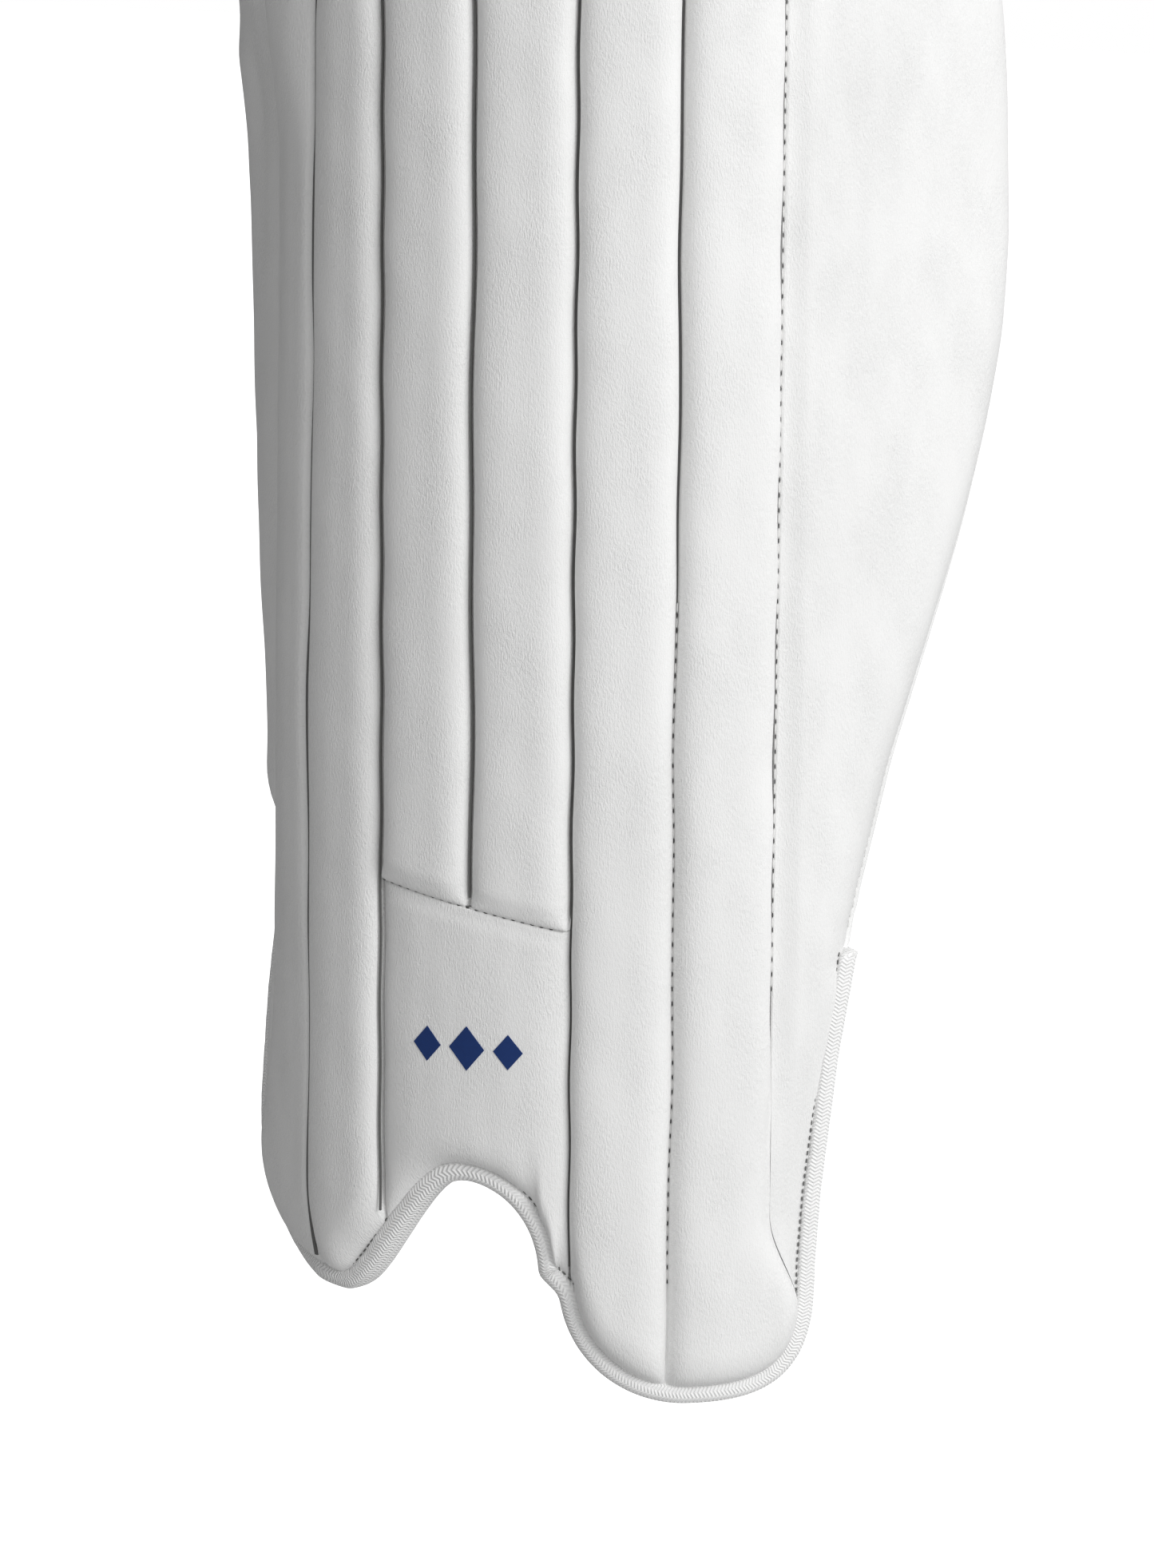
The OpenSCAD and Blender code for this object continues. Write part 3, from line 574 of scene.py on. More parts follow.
# painted shade: the near-black of the seam bottoms and of the tape's needle holes
SHADE = plain("seam_shade", (0.16, 0.16, 0.158), 0.9)
NAVY = plain("emblem_navy", (0.008, 0.035, 0.16), 0.45)
CANE = plain("split_cane", (0.55, 0.38, 0.19), 0.55, 300.0, 0.0002)


def dress(obj, material, body=None, replaces=()):
    """Gives a piece its material, its body and the nodes it stands for."""
    obj.data.materials.clear()
    obj.data.materials.append(material)
    if body:
        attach(obj, body)
    if replaces:
        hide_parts(*replaces)
    return obj


def between(name, coords, front_d, back_d, uv=None, **kw):
    """A closed solid between two distances d over a grid of (s, z)."""
    s, z = coords
    fill = np.zeros(np.broadcast(s, z).shape)
    return solid(name, at(s, z, front_d + fill), at(s, z, back_d + fill), *(uv or coords), **kw)


def pad_piece(name, coords, front_d, back_d, body, replaces, fill=0.9, **kw):
    """A leather-covered foam piece."""
    obj = between(name, coords, front_d, back_d, sharp=70, **kw)
    dress(obj, LEATHER, body, replaces)
    return obj


def lining_piece(name, coords, front_d, back_d, body, replaces, **kw):
    obj = between(name, coords, front_d, back_d, sharp=70, **kw)
    return dress(obj, LINING, body, replaces)


def stitches(name, places, length, width, height, material=None, slot="face_leather", body="shin"):
    """A row of threads, or of dark dots of painted shade for needle holes, at places (centres, headings, ways
    out).
    """
    return dress(beads(name, *places, length, width, height), material or THREAD, body)


# ---- the face
def clear_of_edge(s, w):
    """Lowest height at s that is a distance w or more from the lower edge."""
    t = np.linspace(-1, 1, 25)
    s = np.asarray(s, float)[..., None]
    return (lower_edge(s + t * w) + w * np.sqrt(np.maximum(0, 1 - t * t))).max(-1)


def edge_slope(s):
    """Length along the lower edge for each millimetre of s."""
    return np.clip(np.hypot(1, lower_edge(s + 0.5) - lower_edge(s - 0.5)), 1, 2.6)


def clear_of_thigh_edge(s, w):
    """Height at s that is a distance w below the thigh panel's top edge."""
    return thigh_edge(s) - w * np.hypot(1, thigh_edge(s + 0.5) - thigh_edge(s - 0.5))


def roll_profile(u, n=4.5):
    """Height of a roll across its width: a slit at each seam, steep sides and a flat crown."""
    slit = 0.024
    return arch(np.minimum(1, np.abs(2 * u - 1) / (1 - slit)), n)


def seam_wander(q, z):
    """Slight waviness of the rolls, in s."""
    return (wave(z, (0.35, 173, 0.4), (0.22, 71, 1.9)) * np.cos(q / 21)
            + wave(z, (0.18, 39, 0.7)) * np.sin(q / 17))


def crown_relief(q, z):
    """Slight unevenness of the leather over the foam, in d."""
    return (wave(z + 1.3 * q, (0.07, 61, 0.2), (0.03, 29, 1.1))
            + wave(z - 0.8 * q, (0.04, 43, 2.2)) + wave(q, (0.03, 9.3, 0.5)))


def rows(z0, z1, n):
    """Row positions between two heights (arrays), closer together near both ends."""
    return mix(z0[:, None], z1[:, None], mix(np.linspace(0, 1, n), ease(n), 0.75)[None, :])


def quilting(x, pitch, n):
    """Rounded channels across a lining."""
    return arch(2 * ((x / pitch) % 1) - 1, n)


def margin_share(z):
    """Low down, the outermost roll runs on into its margin without a groove: 1 there, 0 above."""
    return 1 - smooth((z - 72) / 56)


def margin_level(z):
    """Front of the outer margin beside the roll: lower where the margin is narrow."""
    width = outer_side(z) - spread(HALF_FACE + 0 * z, z)
    return mix(9.2, 12.3, smooth((width - 4) / 14))


def slit_depth(q, z):
    """Depth of the slit at a tight seam; the outermost seam opens out low down, at its stitches."""
    e = np.abs((q / ROLL + 0.5) % 1 - 0.5) * ROLL
    outer = np.where(np.abs(q - 2 * ROLL) < ROLL / 2, smooth((z - 190) / 140), 0.0)
    share = np.where(np.abs(q) < 1.5 * ROLL, 1.0, 0.0) + outer
    return 2.1 * share * (1 - smooth((e - 0.25) / 0.5))


def fold_lift(q, z):
    """The seam at the fold lies less deep than the others, and has a slit of its own."""
    e = np.abs(q + 2 * ROLL)
    level = 3.0 * (1 - smooth(e / 9)) - 2.2 * (1 - smooth(e / 1.1))
    return level * smooth((z - 34) / 22) * (1 - smooth((z - 415) / 30))


def face(word, first):
    """Two neighbouring shin rolls as one sewn panel."""
    across = ease(27)
    k = np.repeat([first, first + 1], len(across))[:, None]
    u = np.tile(across, 2)[:, None]
    q = (k - 4 + u) * ROLL
    if first == 3:
        foot = instep_seam(np.clip(q, 0.05 - ROLL, ROLL - 0.05)) + 0.25
    else:
        foot = clear_of_edge(spread(np.sign(q) * np.maximum(np.abs(q), ROLL + 0.02), 0.0), TAPE_REACH)
    z = rows(foot[:, 0], np.full(len(q), SHIN_TOP), 150)
    s = spread(q, z) + seam_wander(q, z)
    if first == 3:
        along, foot_d = z - foot, 12.4
        foot_end = end_fade(along + 0.2, 8.0)
    else:
        along, foot_d = (z - foot) / edge_slope(s[:, :1]), 8.4
        foot_end = end_fade(along - 1.2, 12.0)
    end = foot_end * end_fade(SHIN_TOP - z + 0.2, 9.0)
    rounder = roll_profile(u, np.where(k == 1, 2.2, 3.2))
    profile = np.where(np.abs(q + 2 * ROLL) < ROLL / 2, rounder, roll_profile(u))
    low_end = (margin_level(z) - GROOVE_D) / (CROWN_D - GROOVE_D)
    flush = margin_share(z) * mix(1, low_end, smooth((u - 0.55) / 0.45))
    profile = np.where((k == 6) & (u > 0.5), np.maximum(profile, flush), profile)
    base = mix(foot_d, GROOVE_D, smooth(along / 6)) + fold_lift(q, z)
    crown = np.where(k == 1, side_crown_d(z), CROWN_D)
    d = base + (crown - base) * profile * end + crown_relief(q, z) * profile - slit_depth(q, z)
    pad_piece(f"{word}_face", (s, z), d, PADDING_D + 0.2, "shin",
              [f"{word}_face_cover", f"shin_core_{first}", f"shin_core_{first + 1}"])


for word, first in (("inner", 1), ("centre", 3), ("outer", 5)):
    face(word, first)


# ---- the instep panel
def instep_ends(q):
    """Lowest and highest z of the instep panel."""
    return clear_of_edge(q, TAPE_REACH), instep_seam(q) - 0.1


def instep_d(q, z):
    """Front of the instep panel: raised where it is sewn under the rolls, and low at the tape."""
    foot, top = instep_ends(q)
    along = (z - foot) / edge_slope(q)
    side = arch(q / ROLL, 5)
    ends = end_fade(along - 1.2, 9) * end_fade(top - z + 0.2, 7)
    base = mix(8.4, GROOVE_D, smooth(along / 6)) + 3.0 * (1 - smooth((top - z) / 5)) * side
    crown = GROOVE_D + 4.4
    return base + (np.maximum(0, crown - base) + crown_relief(q, z)) * side * ends


def instep():
    q = mix(-ROLL + 0.1, ROLL - 0.1, ease(60))
    z = rows(*instep_ends(q), 60)
    q = q[:, None]
    pad_piece("instep_panel", (q + seam_wander(q, z), z), instep_d(q, z), PADDING_D + 0.2, "shin",
              ["instep_cover", "instep_core"])


instep()


# ---- the wings
def outer_outline(z):
    return np.where(z < OUTER_WING_FOOT, outer_side(z), outer_wing_edge(z))


def inner_outline(z):
    return smooth_interp(z, [60, 110, 140, 156, 166, 178, 192, 214, 300, 405, 432, 452],
                         [105, 103, 99.5, 99, 104, 122, 137, 150, 161, 175, 172, 156])


def wing_hem(e, width):
    """Rise of a wing from its turned hem, e from the edge, as a share of its crown."""
    return (1 - (1 - np.clip((e - 2.6) / width, 0, 1)) ** 2.4) ** 0.8


def hem_d(e, z, bound_z):
    """Front of the hem itself: a small round at the free edge, thicker under the binding."""
    free = WING_EDGE_D + 0.6 - 2.0 * (1 - end_fade(e + 0.05, 1.4))
    return mix(7.5, free, smooth((z - bound_z + 14) / 16))


def wing(word, side, z0, bound_z, outline):
    """One side wing with the margin below it, from its seam beside the rolls to its edge."""
    z_rows = z0 + (WING_TOP - z0) * mix(np.linspace(0, 1, 170), ease(170), 0.5)
    start = np.abs(spread(side * HALF_FACE, z_rows)) + 0.35 - 0.33 * margin_share(z_rows)
    edge = outline(z_rows) - np.where(z_rows < bound_z, 0.9, 0.0)
    t = mix(ease(64), np.linspace(0, 1, 64), 0.35)
    m = mix(start[None, :], edge[None, :], t[:, None])
    z = np.broadcast_to(z_rows[None, :], m.shape)
    x, e = m - start[None, :], edge[None, :] - m
    top = WING_TOP - z
    trough = 0.42 + 0.58 * smooth((x + 0.8) / 8.5) ** 0.9
    crown = np.minimum(wing_hem(e, 17), wing_hem(top + 0.6, 15))
    narrow = smooth((edge - start)[None, :] / 26)
    base = hem_d(np.minimum(e, np.maximum(top, 0.0)), z, bound_z)
    relief = wave(z + 2 * x, (0.12, 93, 0.3), (0.08, 41, 1.0)) + wave(x, (0.05, 13, 0.6))
    high = mix(base + 1.6, WING_D, narrow)
    seam_side = np.maximum(base, mix(GROOVE_D - 1.2, base, smooth(x / 14)))
    d = seam_side + (high - seam_side) * trough * crown + relief * crown
    d = np.where(t[:, None] < 0.002, np.minimum(d, GROOVE_D), d)
    if side > 0:
        across = np.clip(x / np.maximum(x + e - 6.5, 0.5), 0, 1)
        d = mix(d, mix(margin_level(z), 8.2, smooth(across)), margin_share(z))
    if side < 0:
        angle = CURL_A + np.degrees((m - HALF_FACE - FLARE_W - wing_bend(z)) / CURL_R)
        height = 3.4 * np.exp(-((z - 388) / 42) ** 2) * (1 - smooth((z - 398) / 22))
        d = d + height * smooth((angle - 30) / 25) * (1 - smooth((angle - 72) / 12))
    front = pad_piece(f"{word}_wing_panel", (side * m, z), d, LINING_D, None,
                      [f"{word}_wing_cover", f"{word}_wing_core", f"{word}_margin_pad"], flip=side < 0)
    quilt = -0.35 * quilting(x, 21, 4) * np.minimum(1, e / 6)
    back = lining_piece(f"{word}_wing_lining", (side * m, z), 1.2, quilt, None, [f"{word}_wing_lining"],
                        flip=side < 0)
    return front, back


for part in wing("outer", 1, 34.0, OUTER_BINDING_Z, outer_outline):
    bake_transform(part)
for part in wing("inner", -1, 50.0, INNER_BINDING_Z, inner_outline):
    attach(part, "shin")


# ---- the shin's lining
def shin_lining():
    q = mix(-HALF_FACE, HALF_FACE, np.linspace(0, 1, 97))
    foot = clear_of_edge(spread(q, 0.0), 1.0)
    z = rows(foot, np.full_like(foot, SHIN_TOP), 120)
    low = clear_of_edge(spread(q, 0.0), BINDING_W)[:, None]
    quilt = (0.5 - 0.7 * quilting(q, ROLL, 5)[:, None]) * smooth((z - low + 3) / 6)
    obj = lining_piece("shin_lining_quilt", (spread(q[:, None], z), z), PADDING_D, quilt, "shin",
                       ["shin_lining", "shin_padding"])


shin_lining()


# ---- edge bindings
TAPE_SECTION = [(6.3, 8.0), (6.2, 9.0), (5.3, 9.5), (3.8, 9.9), (2.2, 9.8), (0.9, 9.0), (0.2, 7.4), (0, 5.2),
                (0, 2.6), (0.25, 0.8), (1.0, -0.5), (2.4, -1.1), (4.2, -1.1), (5.6, -0.9), (6.3, -0.5),
                (6.3, 1.5)]


def lower_outline():
    """(s, z) round the pad's edge: down its outer side, along the lobes and up its inner side."""
    down = np.linspace(OUTER_BINDING_Z, OUTER_SIDE_Z, 60)
    stretches = ((102.49, 64.01, 160), (64, 26.01, 120), (26, 19.5, 12), (19.49, -3, 90), (-3.3, -46, 70),
                 (-46.3, -104.99, 200))
    s = np.concatenate([np.linspace(*stretch) for stretch in stretches])
    up = np.linspace(70, INNER_BINDING_Z, 60)
    points = np.concatenate([np.stack(pair, axis=1) for pair in (
        (outer_side(down), down), (s, lower_edge(s)), (-inner_side(up), up))])
    return resample(soften(resample(points, 0.8), 3), 1.5)


def bind_lower_edge():
    obj = edge_tape("lower_edge_tape", lower_outline(), -1, TAPE_SECTION, taper=3.5)
    dress(obj, TAPE, None, ["lower_binding"])
    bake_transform(obj)


bind_lower_edge()


def tape_stitches():
    """Dark dots of painted shade for the needle holes of the seam along the tape's inner edge."""
    outline = lower_outline()
    places = outline + 6.7 * inward_of(outline, -1)
    line, over = (at(places[:, 0], places[:, 1], d) for d in (8.6, 14.0))
    places = over_line(line, over, 2.4)
    obj = stitches("tape_needle_holes", places, 1.5, 0.5, 0.6, SHADE, "binding_tape", None)
    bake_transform(obj)


tape_stitches()


def thigh_outline():
    """(s, z) up one side of the thigh panel, over its top and down the other side."""
    up = np.linspace(THIGH_Z + 1.2, THIGH_Z + 118, 60)
    s = THIGH_HALF * np.sin(np.linspace(math.pi / 2, -math.pi / 2, 160))
    side = np.full_like(up, THIGH_HALF)
    points = np.concatenate([np.stack(pair, axis=1) for pair in (
        (side, up), (s, thigh_edge(s)), (-side, up[::-1]))])
    return resample(soften(resample(points, 0.8), 4), 1.6)


dress(edge_tape("thigh_edge_tape", thigh_outline(), 1, TAPE_SECTION), TAPE, "thigh",
      ["thigh_binding"])


# ---- knee rolls
def knee_grid(z0, z1, half, nu=33, ns=120):
    u = ease(nu)
    s = mix(-half, half, mix(ease(ns), np.linspace(0, 1, ns), 0.55))
    return np.broadcast_arrays(s[:, None], mix(z0, z1, u)[None, :], u[None, :])


def knee_roll(i):
    """One horizontal roll, drawn in to a seam above and below, with a puckered edge."""
    s, z, u = knee_grid(KNEE_Z + (i - 1) * KNEE_H + 0.7, KNEE_Z + i * KNEE_H - 0.7, KNEE_HALF)
    side = end_fade(KNEE_HALF - np.abs(s) + 0.1, 19)
    bulge = roll_profile(u, 3.4) * side
    relief = crown_relief(z + 20 * i, s) * bulge * 1.3
    pucker = 0.22 * np.sin(2 * math.pi * s / 6.3 + i) * (1 - smooth((np.minimum(u, 1 - u)) / 0.16)) * side
    d = KNEE_EDGE_D + (KNEE_CROWN_D - KNEE_EDGE_D) * bulge + relief + pucker
    pad_piece(f"knee_roll_{i}_front", (s, z), d, LINING_D, f"knee_roll_{i}",
              [f"knee_roll_cover_{i}", f"knee_roll_core_{i}"], uv=(z, s))
    quilt = 0.35 - 0.9 * quilting(s + 16.15, 32.3, 5) * roll_profile(u, 6)
    lining_piece(f"knee_roll_{i}_lining", (s, z), 1.25, quilt, f"knee_roll_{i}", [f"knee_lining_{i}"])


def knee_seam(i):
    """The stitched channel between two knee rolls."""
    z0 = KNEE_Z + i * KNEE_H
    half = KNEE_HALF - 1.5 if 0 < i < 3 else (HALF_FACE + 0.5 if i == 0 else 95.0)
    s, z, u = knee_grid(z0 - 5, z0 + 5, half, 17, 90)
    pinch = 1.4 * (1 - np.abs(2 * u - 1) ** 1.5)
    obj = between(f"knee_seam_{i + 1}", (s, z), 6.6 - pinch, 0.9 + 0.5 * pinch, uv=(z, s), sharp=70)
    dress(obj, LEATHER)
    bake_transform(obj)


for number in (1, 2, 3):
    knee_roll(number)
for number in (0, 1, 2, 3):
    knee_seam(number)


# ---- thigh panel
THIGH_FOOT = THIGH_Z + 1.0


def thigh_face():
    """Six vertical rolls with a flat margin on either side."""
    across = ease(23)
    margin = np.array([90.7, 92.5, 94.5, 96.4])
    rolls = (np.repeat(np.arange(-3, 3), len(across)) + np.tile(across, 6)) * THIGH_ROLL
    q = np.concatenate([-margin[::-1], rolls, margin])
    u = np.concatenate([0 * margin, np.tile(across, 6), 0 * margin])[:, None]
    top = clear_of_thigh_edge(q, TAPE_REACH)
    z = rows(np.full_like(q, THIGH_FOOT), top, 90)
    q, top = q[:, None], top[:, None]
    bulge = roll_profile(u) * end_fade(top - z + 0.2, 11) * end_fade(z - THIGH_FOOT + 0.2, 9)
    d = GROOVE_D - 0.2 + (THIGH_CROWN_D - GROOVE_D + crown_relief(q, z)) * bulge
    pad_piece("thigh_face", (q + 0.8 * seam_wander(q, z) * (np.abs(q) < 90), z), d, PADDING_D, "thigh",
              ["thigh_face_cover"] + [f"thigh_core_{n}" for n in range(1, 7)], fill=0.85)


def thigh_lining():
    q = np.linspace(-THIGH_HALF + 1, THIGH_HALF - 1, 100)
    z = rows(np.full_like(q, THIGH_FOOT - 0.3), clear_of_thigh_edge(q, 1.0), 70)
    quilt = 0.5 - 0.8 * quilting(q, THIGH_ROLL, 5) * smooth((96 - np.abs(q)) / 5)
    obj = lining_piece("thigh_lining_quilt", (q[:, None], z), PADDING_D - 0.1, quilt[:, None], "thigh",
                       ["thigh_lining", "thigh_padding"])


thigh_face()
thigh_lining()


# ---- bolsters and pods
SIM_FRAMES = 20
SIM_VOXEL = 4.0


def points_of(obj):
    flat_points = np.zeros(len(obj.data.vertices) * 3)
    obj.data.vertices.foreach_get("co", flat_points)
    return flat_points.reshape(-1, 3)


def plump(obj, base, cap):
    """Swells a closed form by cloth simulation, held where it is sewn to its base.

    base gives each point's distance from the sewn plane, and cap is the furthest a point moves.
    """
    scene = bpy.context.scene
    bpy.context.view_layer.objects.active = obj
    remesh = obj.modifiers.new("remesh", "REMESH")
    remesh.mode = "VOXEL"
    remesh.voxel_size = SIM_VOXEL * MM
    bake(obj)
    rest = points_of(obj)
    sewn = [int(v) for v in np.nonzero(base(rest / MM) < 2.2)[0]]
    group = obj.vertex_groups.new(name="sewn")
    group.add(sewn, 1.0, "REPLACE")
    cloth = obj.modifiers.new("cloth", "CLOTH")
    settings = dict(quality=6, mass=0.25, use_pressure=True, uniform_pressure_force=4.0,
                    vertex_group_mass="sewn", tension_stiffness=25, compression_stiffness=25,
                    bending_stiffness=1.5)
    for key, value in settings.items():
        setattr(cloth.settings, key, value)
    cloth.settings.effector_weights.gravity = 0
    cloth.collision_settings.use_collision = False
    cloth.point_cache.frame_start, cloth.point_cache.frame_end = 1, SIM_FRAMES
    for frame_number in range(1, SIM_FRAMES + 1):
        scene.frame_set(frame_number)
    bake(obj)
    shift = points_of(obj) - rest
    length = np.linalg.norm(shift, axis=1, keepdims=True)
    shift *= np.minimum(1, cap * MM / np.maximum(length, 1e-9))
    obj.data.vertices.foreach_set("co", (rest + shift).ravel())
    obj.data.update()
    obj.vertex_groups.clear()
    scene.frame_set(1)


def bake(obj):
    """Makes the evaluated shape the object's own mesh, and drops its modifiers."""
    shape = obj.evaluated_get(bpy.context.evaluated_depsgraph_get())
    mesh = bpy.data.meshes.new_from_object(shape)
    mesh.name = obj.name
    old = obj.data
    obj.modifiers.clear()
    obj.data = mesh
    bpy.data.meshes.remove(old)


def stuffed(obj, base, cap, body, replaced):
    """Finishes a stuffed piece: plumped and smoothed."""
    fix_normals(obj)
    plump(obj, base, cap)
    obj.modifiers.new("smooth", "SUBSURF").levels = 1
    bake(obj)
    obj.data.shade_smooth()
    dress(obj, SOFT_LINING, body, [replaced])


def height_in(points):
    """Distance of points in millimetres inside the pad's inner face."""
    x, y, z = points[:, 0], points[:, 1], points[:, 2]
    r = wrap_r(z)
    return r - np.hypot(x, y + front_r(z) - r)


def bolster(name, body, s0, w, z0, z1, depth, fade, replaced):
    """A stuffed roll sewn on the lining, w wide and with ends that fade over a length."""
    u = ease(17)[:, None]
    z = mix(z0, z1, np.linspace(0, 1, max(12, int((z1 - z0) / 4))))[None, :]
    s = s0 + (u - 0.5) * w
    hump = depth * arch(2 * u - 1, 2.2) * end_fade(z - z0 + 0.2, fade) * end_fade(z1 - z + 0.2, fade)
    stuffed(between(name, (s, z), 0.3, -1.2 - hump), height_in, 3.0, body, replaced)


for word, s0, w, pod_s0 in (("inner", -46.5, 17, -55), ("outer", 53, 22, 55)):
    bolster(f"{word}_bolster", "shin", s0, w, 131, 424, 9.5, 18, f"{word}_shin_bolster")
    bolster(f"{word}_pod", "knee_roll_2", pod_s0, 27, KNEE_Z + KNEE_H + 4, KNEE_Z + 2 * KNEE_H - 4, 12, 12,
            f"{word}_knee_pod")


# ---- straps
def turned(v, degrees):
    a = np.radians(degrees)
    c, s = np.cos(a), np.sin(a)
    return np.stack([v[0] * c - v[1] * s, v[0] * s + v[1] * c], axis=-1)


def cross(a, b):
    return a[0] * b[1] - a[1] * b[0]


def curl_s(angle, z):
    """s of the inner wing where its surface has turned through an angle in degrees."""
    return -(HALF_FACE + FLARE_W + wing_bend(z) + np.radians(angle - CURL_A) * CURL_R)


def flat(s, z, d):
    return at(s, z, d)[..., :2]


def anchor_path(z):
    """Stations of an anchor: sewn to the lining, then bending back to its hinge."""
    sewn = np.linspace(66, 83, 8)
    places = [flat(s, z, -0.3) for s in sewn]
    headings = [math.degrees(s / wrap_r(z)) for s in sewn]
    start, first = places[-1], headings[-1]
    centre = start + ANCHOR_R * turned((0, 1), first)
    for t in np.linspace(0, 1, 15)[1:]:
        a = mix(first, ANCHOR_END_A, t)
        places.append(centre + ANCHOR_R * turned((0, -1), a))
        headings.append(a)
    for t in (0.5, 1.0):
        places.append(places[-1] + ANCHOR_REACH / 2 * turned((1, 0), ANCHOR_END_A))
        headings.append(ANCHOR_END_A)
    return np.array(places), np.array(headings)


def hinge(z):
    places, _ = anchor_path(z)
    ahead, out = turned((1, 0), ANCHOR_END_A), turned((0, 1), ANCHOR_END_A)
    return places[-1] + HINGE_REACH * ahead + STRAP_T / 2 * out


def strap_path(middle_z, z):
    """Stations of a strap at height z, from its tail on the inner wing round to its hinge."""
    leave = flat(curl_s(LEAVE_A, z), z, TAIL_D)
    h1 = 180 - LEAVE_A
    u1, ua = turned((1, 0), h1), turned((1, 0), STRAP_START_A)
    a = hinge(middle_z)
    along = cross(a - leave, ua) / cross(u1, ua)
    turn = h1 + 180 - STRAP_START_A
    first = along - BACK_R * math.tan(math.radians(turn / 2))
    centre = leave + first * u1 + BACK_R * turned((0, -1), h1)
    tail = np.linspace(TAIL_A, LEAVE_A, 14)
    run = [leave + first * u1 * t for t in (0.2, 0.4, 0.6, 0.8)]
    back = h1 - turn * np.linspace(0, 1, 44)
    end = a + HINGE_REACH * ua + STRAP_T / 2 * turned((-1, 0), 90 + h1 - turn)
    places = [flat(curl_s(b, z), z, TAIL_D) for b in tail] + run
    places += [centre + BACK_R * turned((0, 1), b) for b in back]
    places += [mix(places[-1], end, 0.5), end]
    headings = [180 - b for b in tail] + [h1] * 4 + list(back) + [h1 - turn] * 2
    return np.array(places), np.array(headings)


STITCH_D = STRAP_T + 0.02           # front of the webbing, where its stitches lie


def strip(path, rows_z, first, last):
    """Part of a path at several heights: its places and heights, and a way to lay a layer on it."""
    grids = [path(z) for z in rows_z]
    places = np.array([g[0][first:last] for g in grids]).transpose(1, 0, 2)
    outward = turned((0, 1), np.array([g[1][first:last] for g in grids]).T)
    z = np.broadcast_to(rows_z[None, :], places.shape[:2])

    def lay(d):
        return np.concatenate([places + outward * d[..., None], z[..., None]], axis=-1)

    return places, z, lay


def band(name, middle_z, path, half, inner, outer, first, last, material, body, replaced):
    """A flat strip along a path, with its edges and ends rounded off."""
    v = np.sin(np.linspace(-math.pi / 2, math.pi / 2, 21))
    places, z, lay = strip(path, middle_z + half * v, first, last)
    n = len(places)
    end = np.minimum(1, np.minimum(np.arange(n), n - 1 - np.arange(n)) / 1.5 + 0.35)[:, None]
    bulk = (outer - inner) / 2 * mix(0.65, 1, arch(v, 10)) * end
    middle = (inner + outer) / 2
    run = np.broadcast_to(run_of(places[:, 10])[:, None], z.shape)
    obj = fix_normals(solid(name, lay(middle + bulk), lay(middle - bulk), run, z, sharp=60))
    dress(obj, material, body, [replaced])


def stitch_row(name, path, z, first, last, body):
    """A row of stitches along a strap at a height."""
    places, headings = path(z)
    points = places[first:last] + turned((0, 1), headings[first:last]) * STITCH_D
    points = np.concatenate([points, np.full((len(points), 1), z)], axis=1)
    centres, along = along_line(points, 3.4)
    out = np.stack([-along[:, 1], along[:, 0], 0 * along[:, 0]], axis=1)
    stitches(name, (centres, along, out), 2.5, 0.7, 0.6, slot="strap_webbing", body=body)


def box_stitch(name, path, middle_z, first, last, body):
    """A box of stitches with a cross in it, where webbing is sewn down."""
    def point(t, v):
        z = middle_z + v * 14.0
        places, headings = path(z)
        order = np.arange(last - first)
        k = t * order[-1]
        columns = (places[:, 0], places[:, 1], headings)
        x, y, h = (np.interp(k, order, column[first:last]) for column in columns)
        out = turned((0, 1), h)
        return np.array([x + out[0] * STITCH_D, y + out[1] * STITCH_D, z]), np.array([out[0], out[1], 0])

    a, b = 0.08, 0.92
    lines = [((a, -1), (b, -1)), ((b, -1), (b, 1)), ((b, 1), (a, 1)), ((a, 1), (a, -1)),
             ((a, -1), (b, 1)), ((a, 1), (b, -1))]
    centres, along, out = [], [], []
    for (t0, v0), (t1, v1) in lines:
        pairs = [point(mix(t0, t1, k), mix(v0, v1, k)) for k in np.linspace(0, 1, 12)]
        places, headings = along_line(np.array([place for place, _ in pairs]), 3.0)
        centres += list(places)
        along += list(headings)
        out += [pairs[len(pairs) // 2][1]] * len(places)
    stitches(name, (centres, along, out), 2.2, 0.65, 0.6, slot="strap_webbing", body=body)


def loop_tape(name, middle_z, half, replaced):
    """Loop tape sewn on the inner wing, where a strap's tail fastens."""
    angle, z = np.meshgrid(np.linspace(LOOPS_A, LOOPS_END_A, 34), middle_z + half * np.linspace(-1, 1, 23),
                           indexing="ij")
    from_end = np.minimum(angle - LOOPS_A, LOOPS_END_A - angle) * 0.7
    rim = np.clip(np.minimum(from_end, half - np.abs(z - middle_z)) / 0.8, 0, 1)
    d = WING_D + 0.45 + 0.85 * np.sqrt(rim)
    tape = fix_normals(between(name, (curl_s(angle, z), z), d, WING_D - 0.4))
    dress(tape, LOOPS, "shin", [replaced])
    low, high = LOOPS_A + 2, LOOPS_END_A - 2
    inset = [(low, -1), (high, -1), (high, 1), (low, 1), (low, -1)]
    points = np.concatenate([np.linspace(p, q, 30) for p, q in zip(inset[:-1], inset[1:])])
    height = middle_z + points[:, 1] * (half - 2)
    centres, along = along_line(at(curl_s(points[:, 0], height), height, WING_D + 1.35), 3.2)
    foot, tip = (at(curl_s(97.0, middle_z), middle_z, d) for d in (0, 30))
    out = np.repeat((tip - foot)[None], len(centres), 0)
    stitches(name + "_stitches", (centres, along, out), 2.3, 0.6, 0.5, slot="loop_tape")


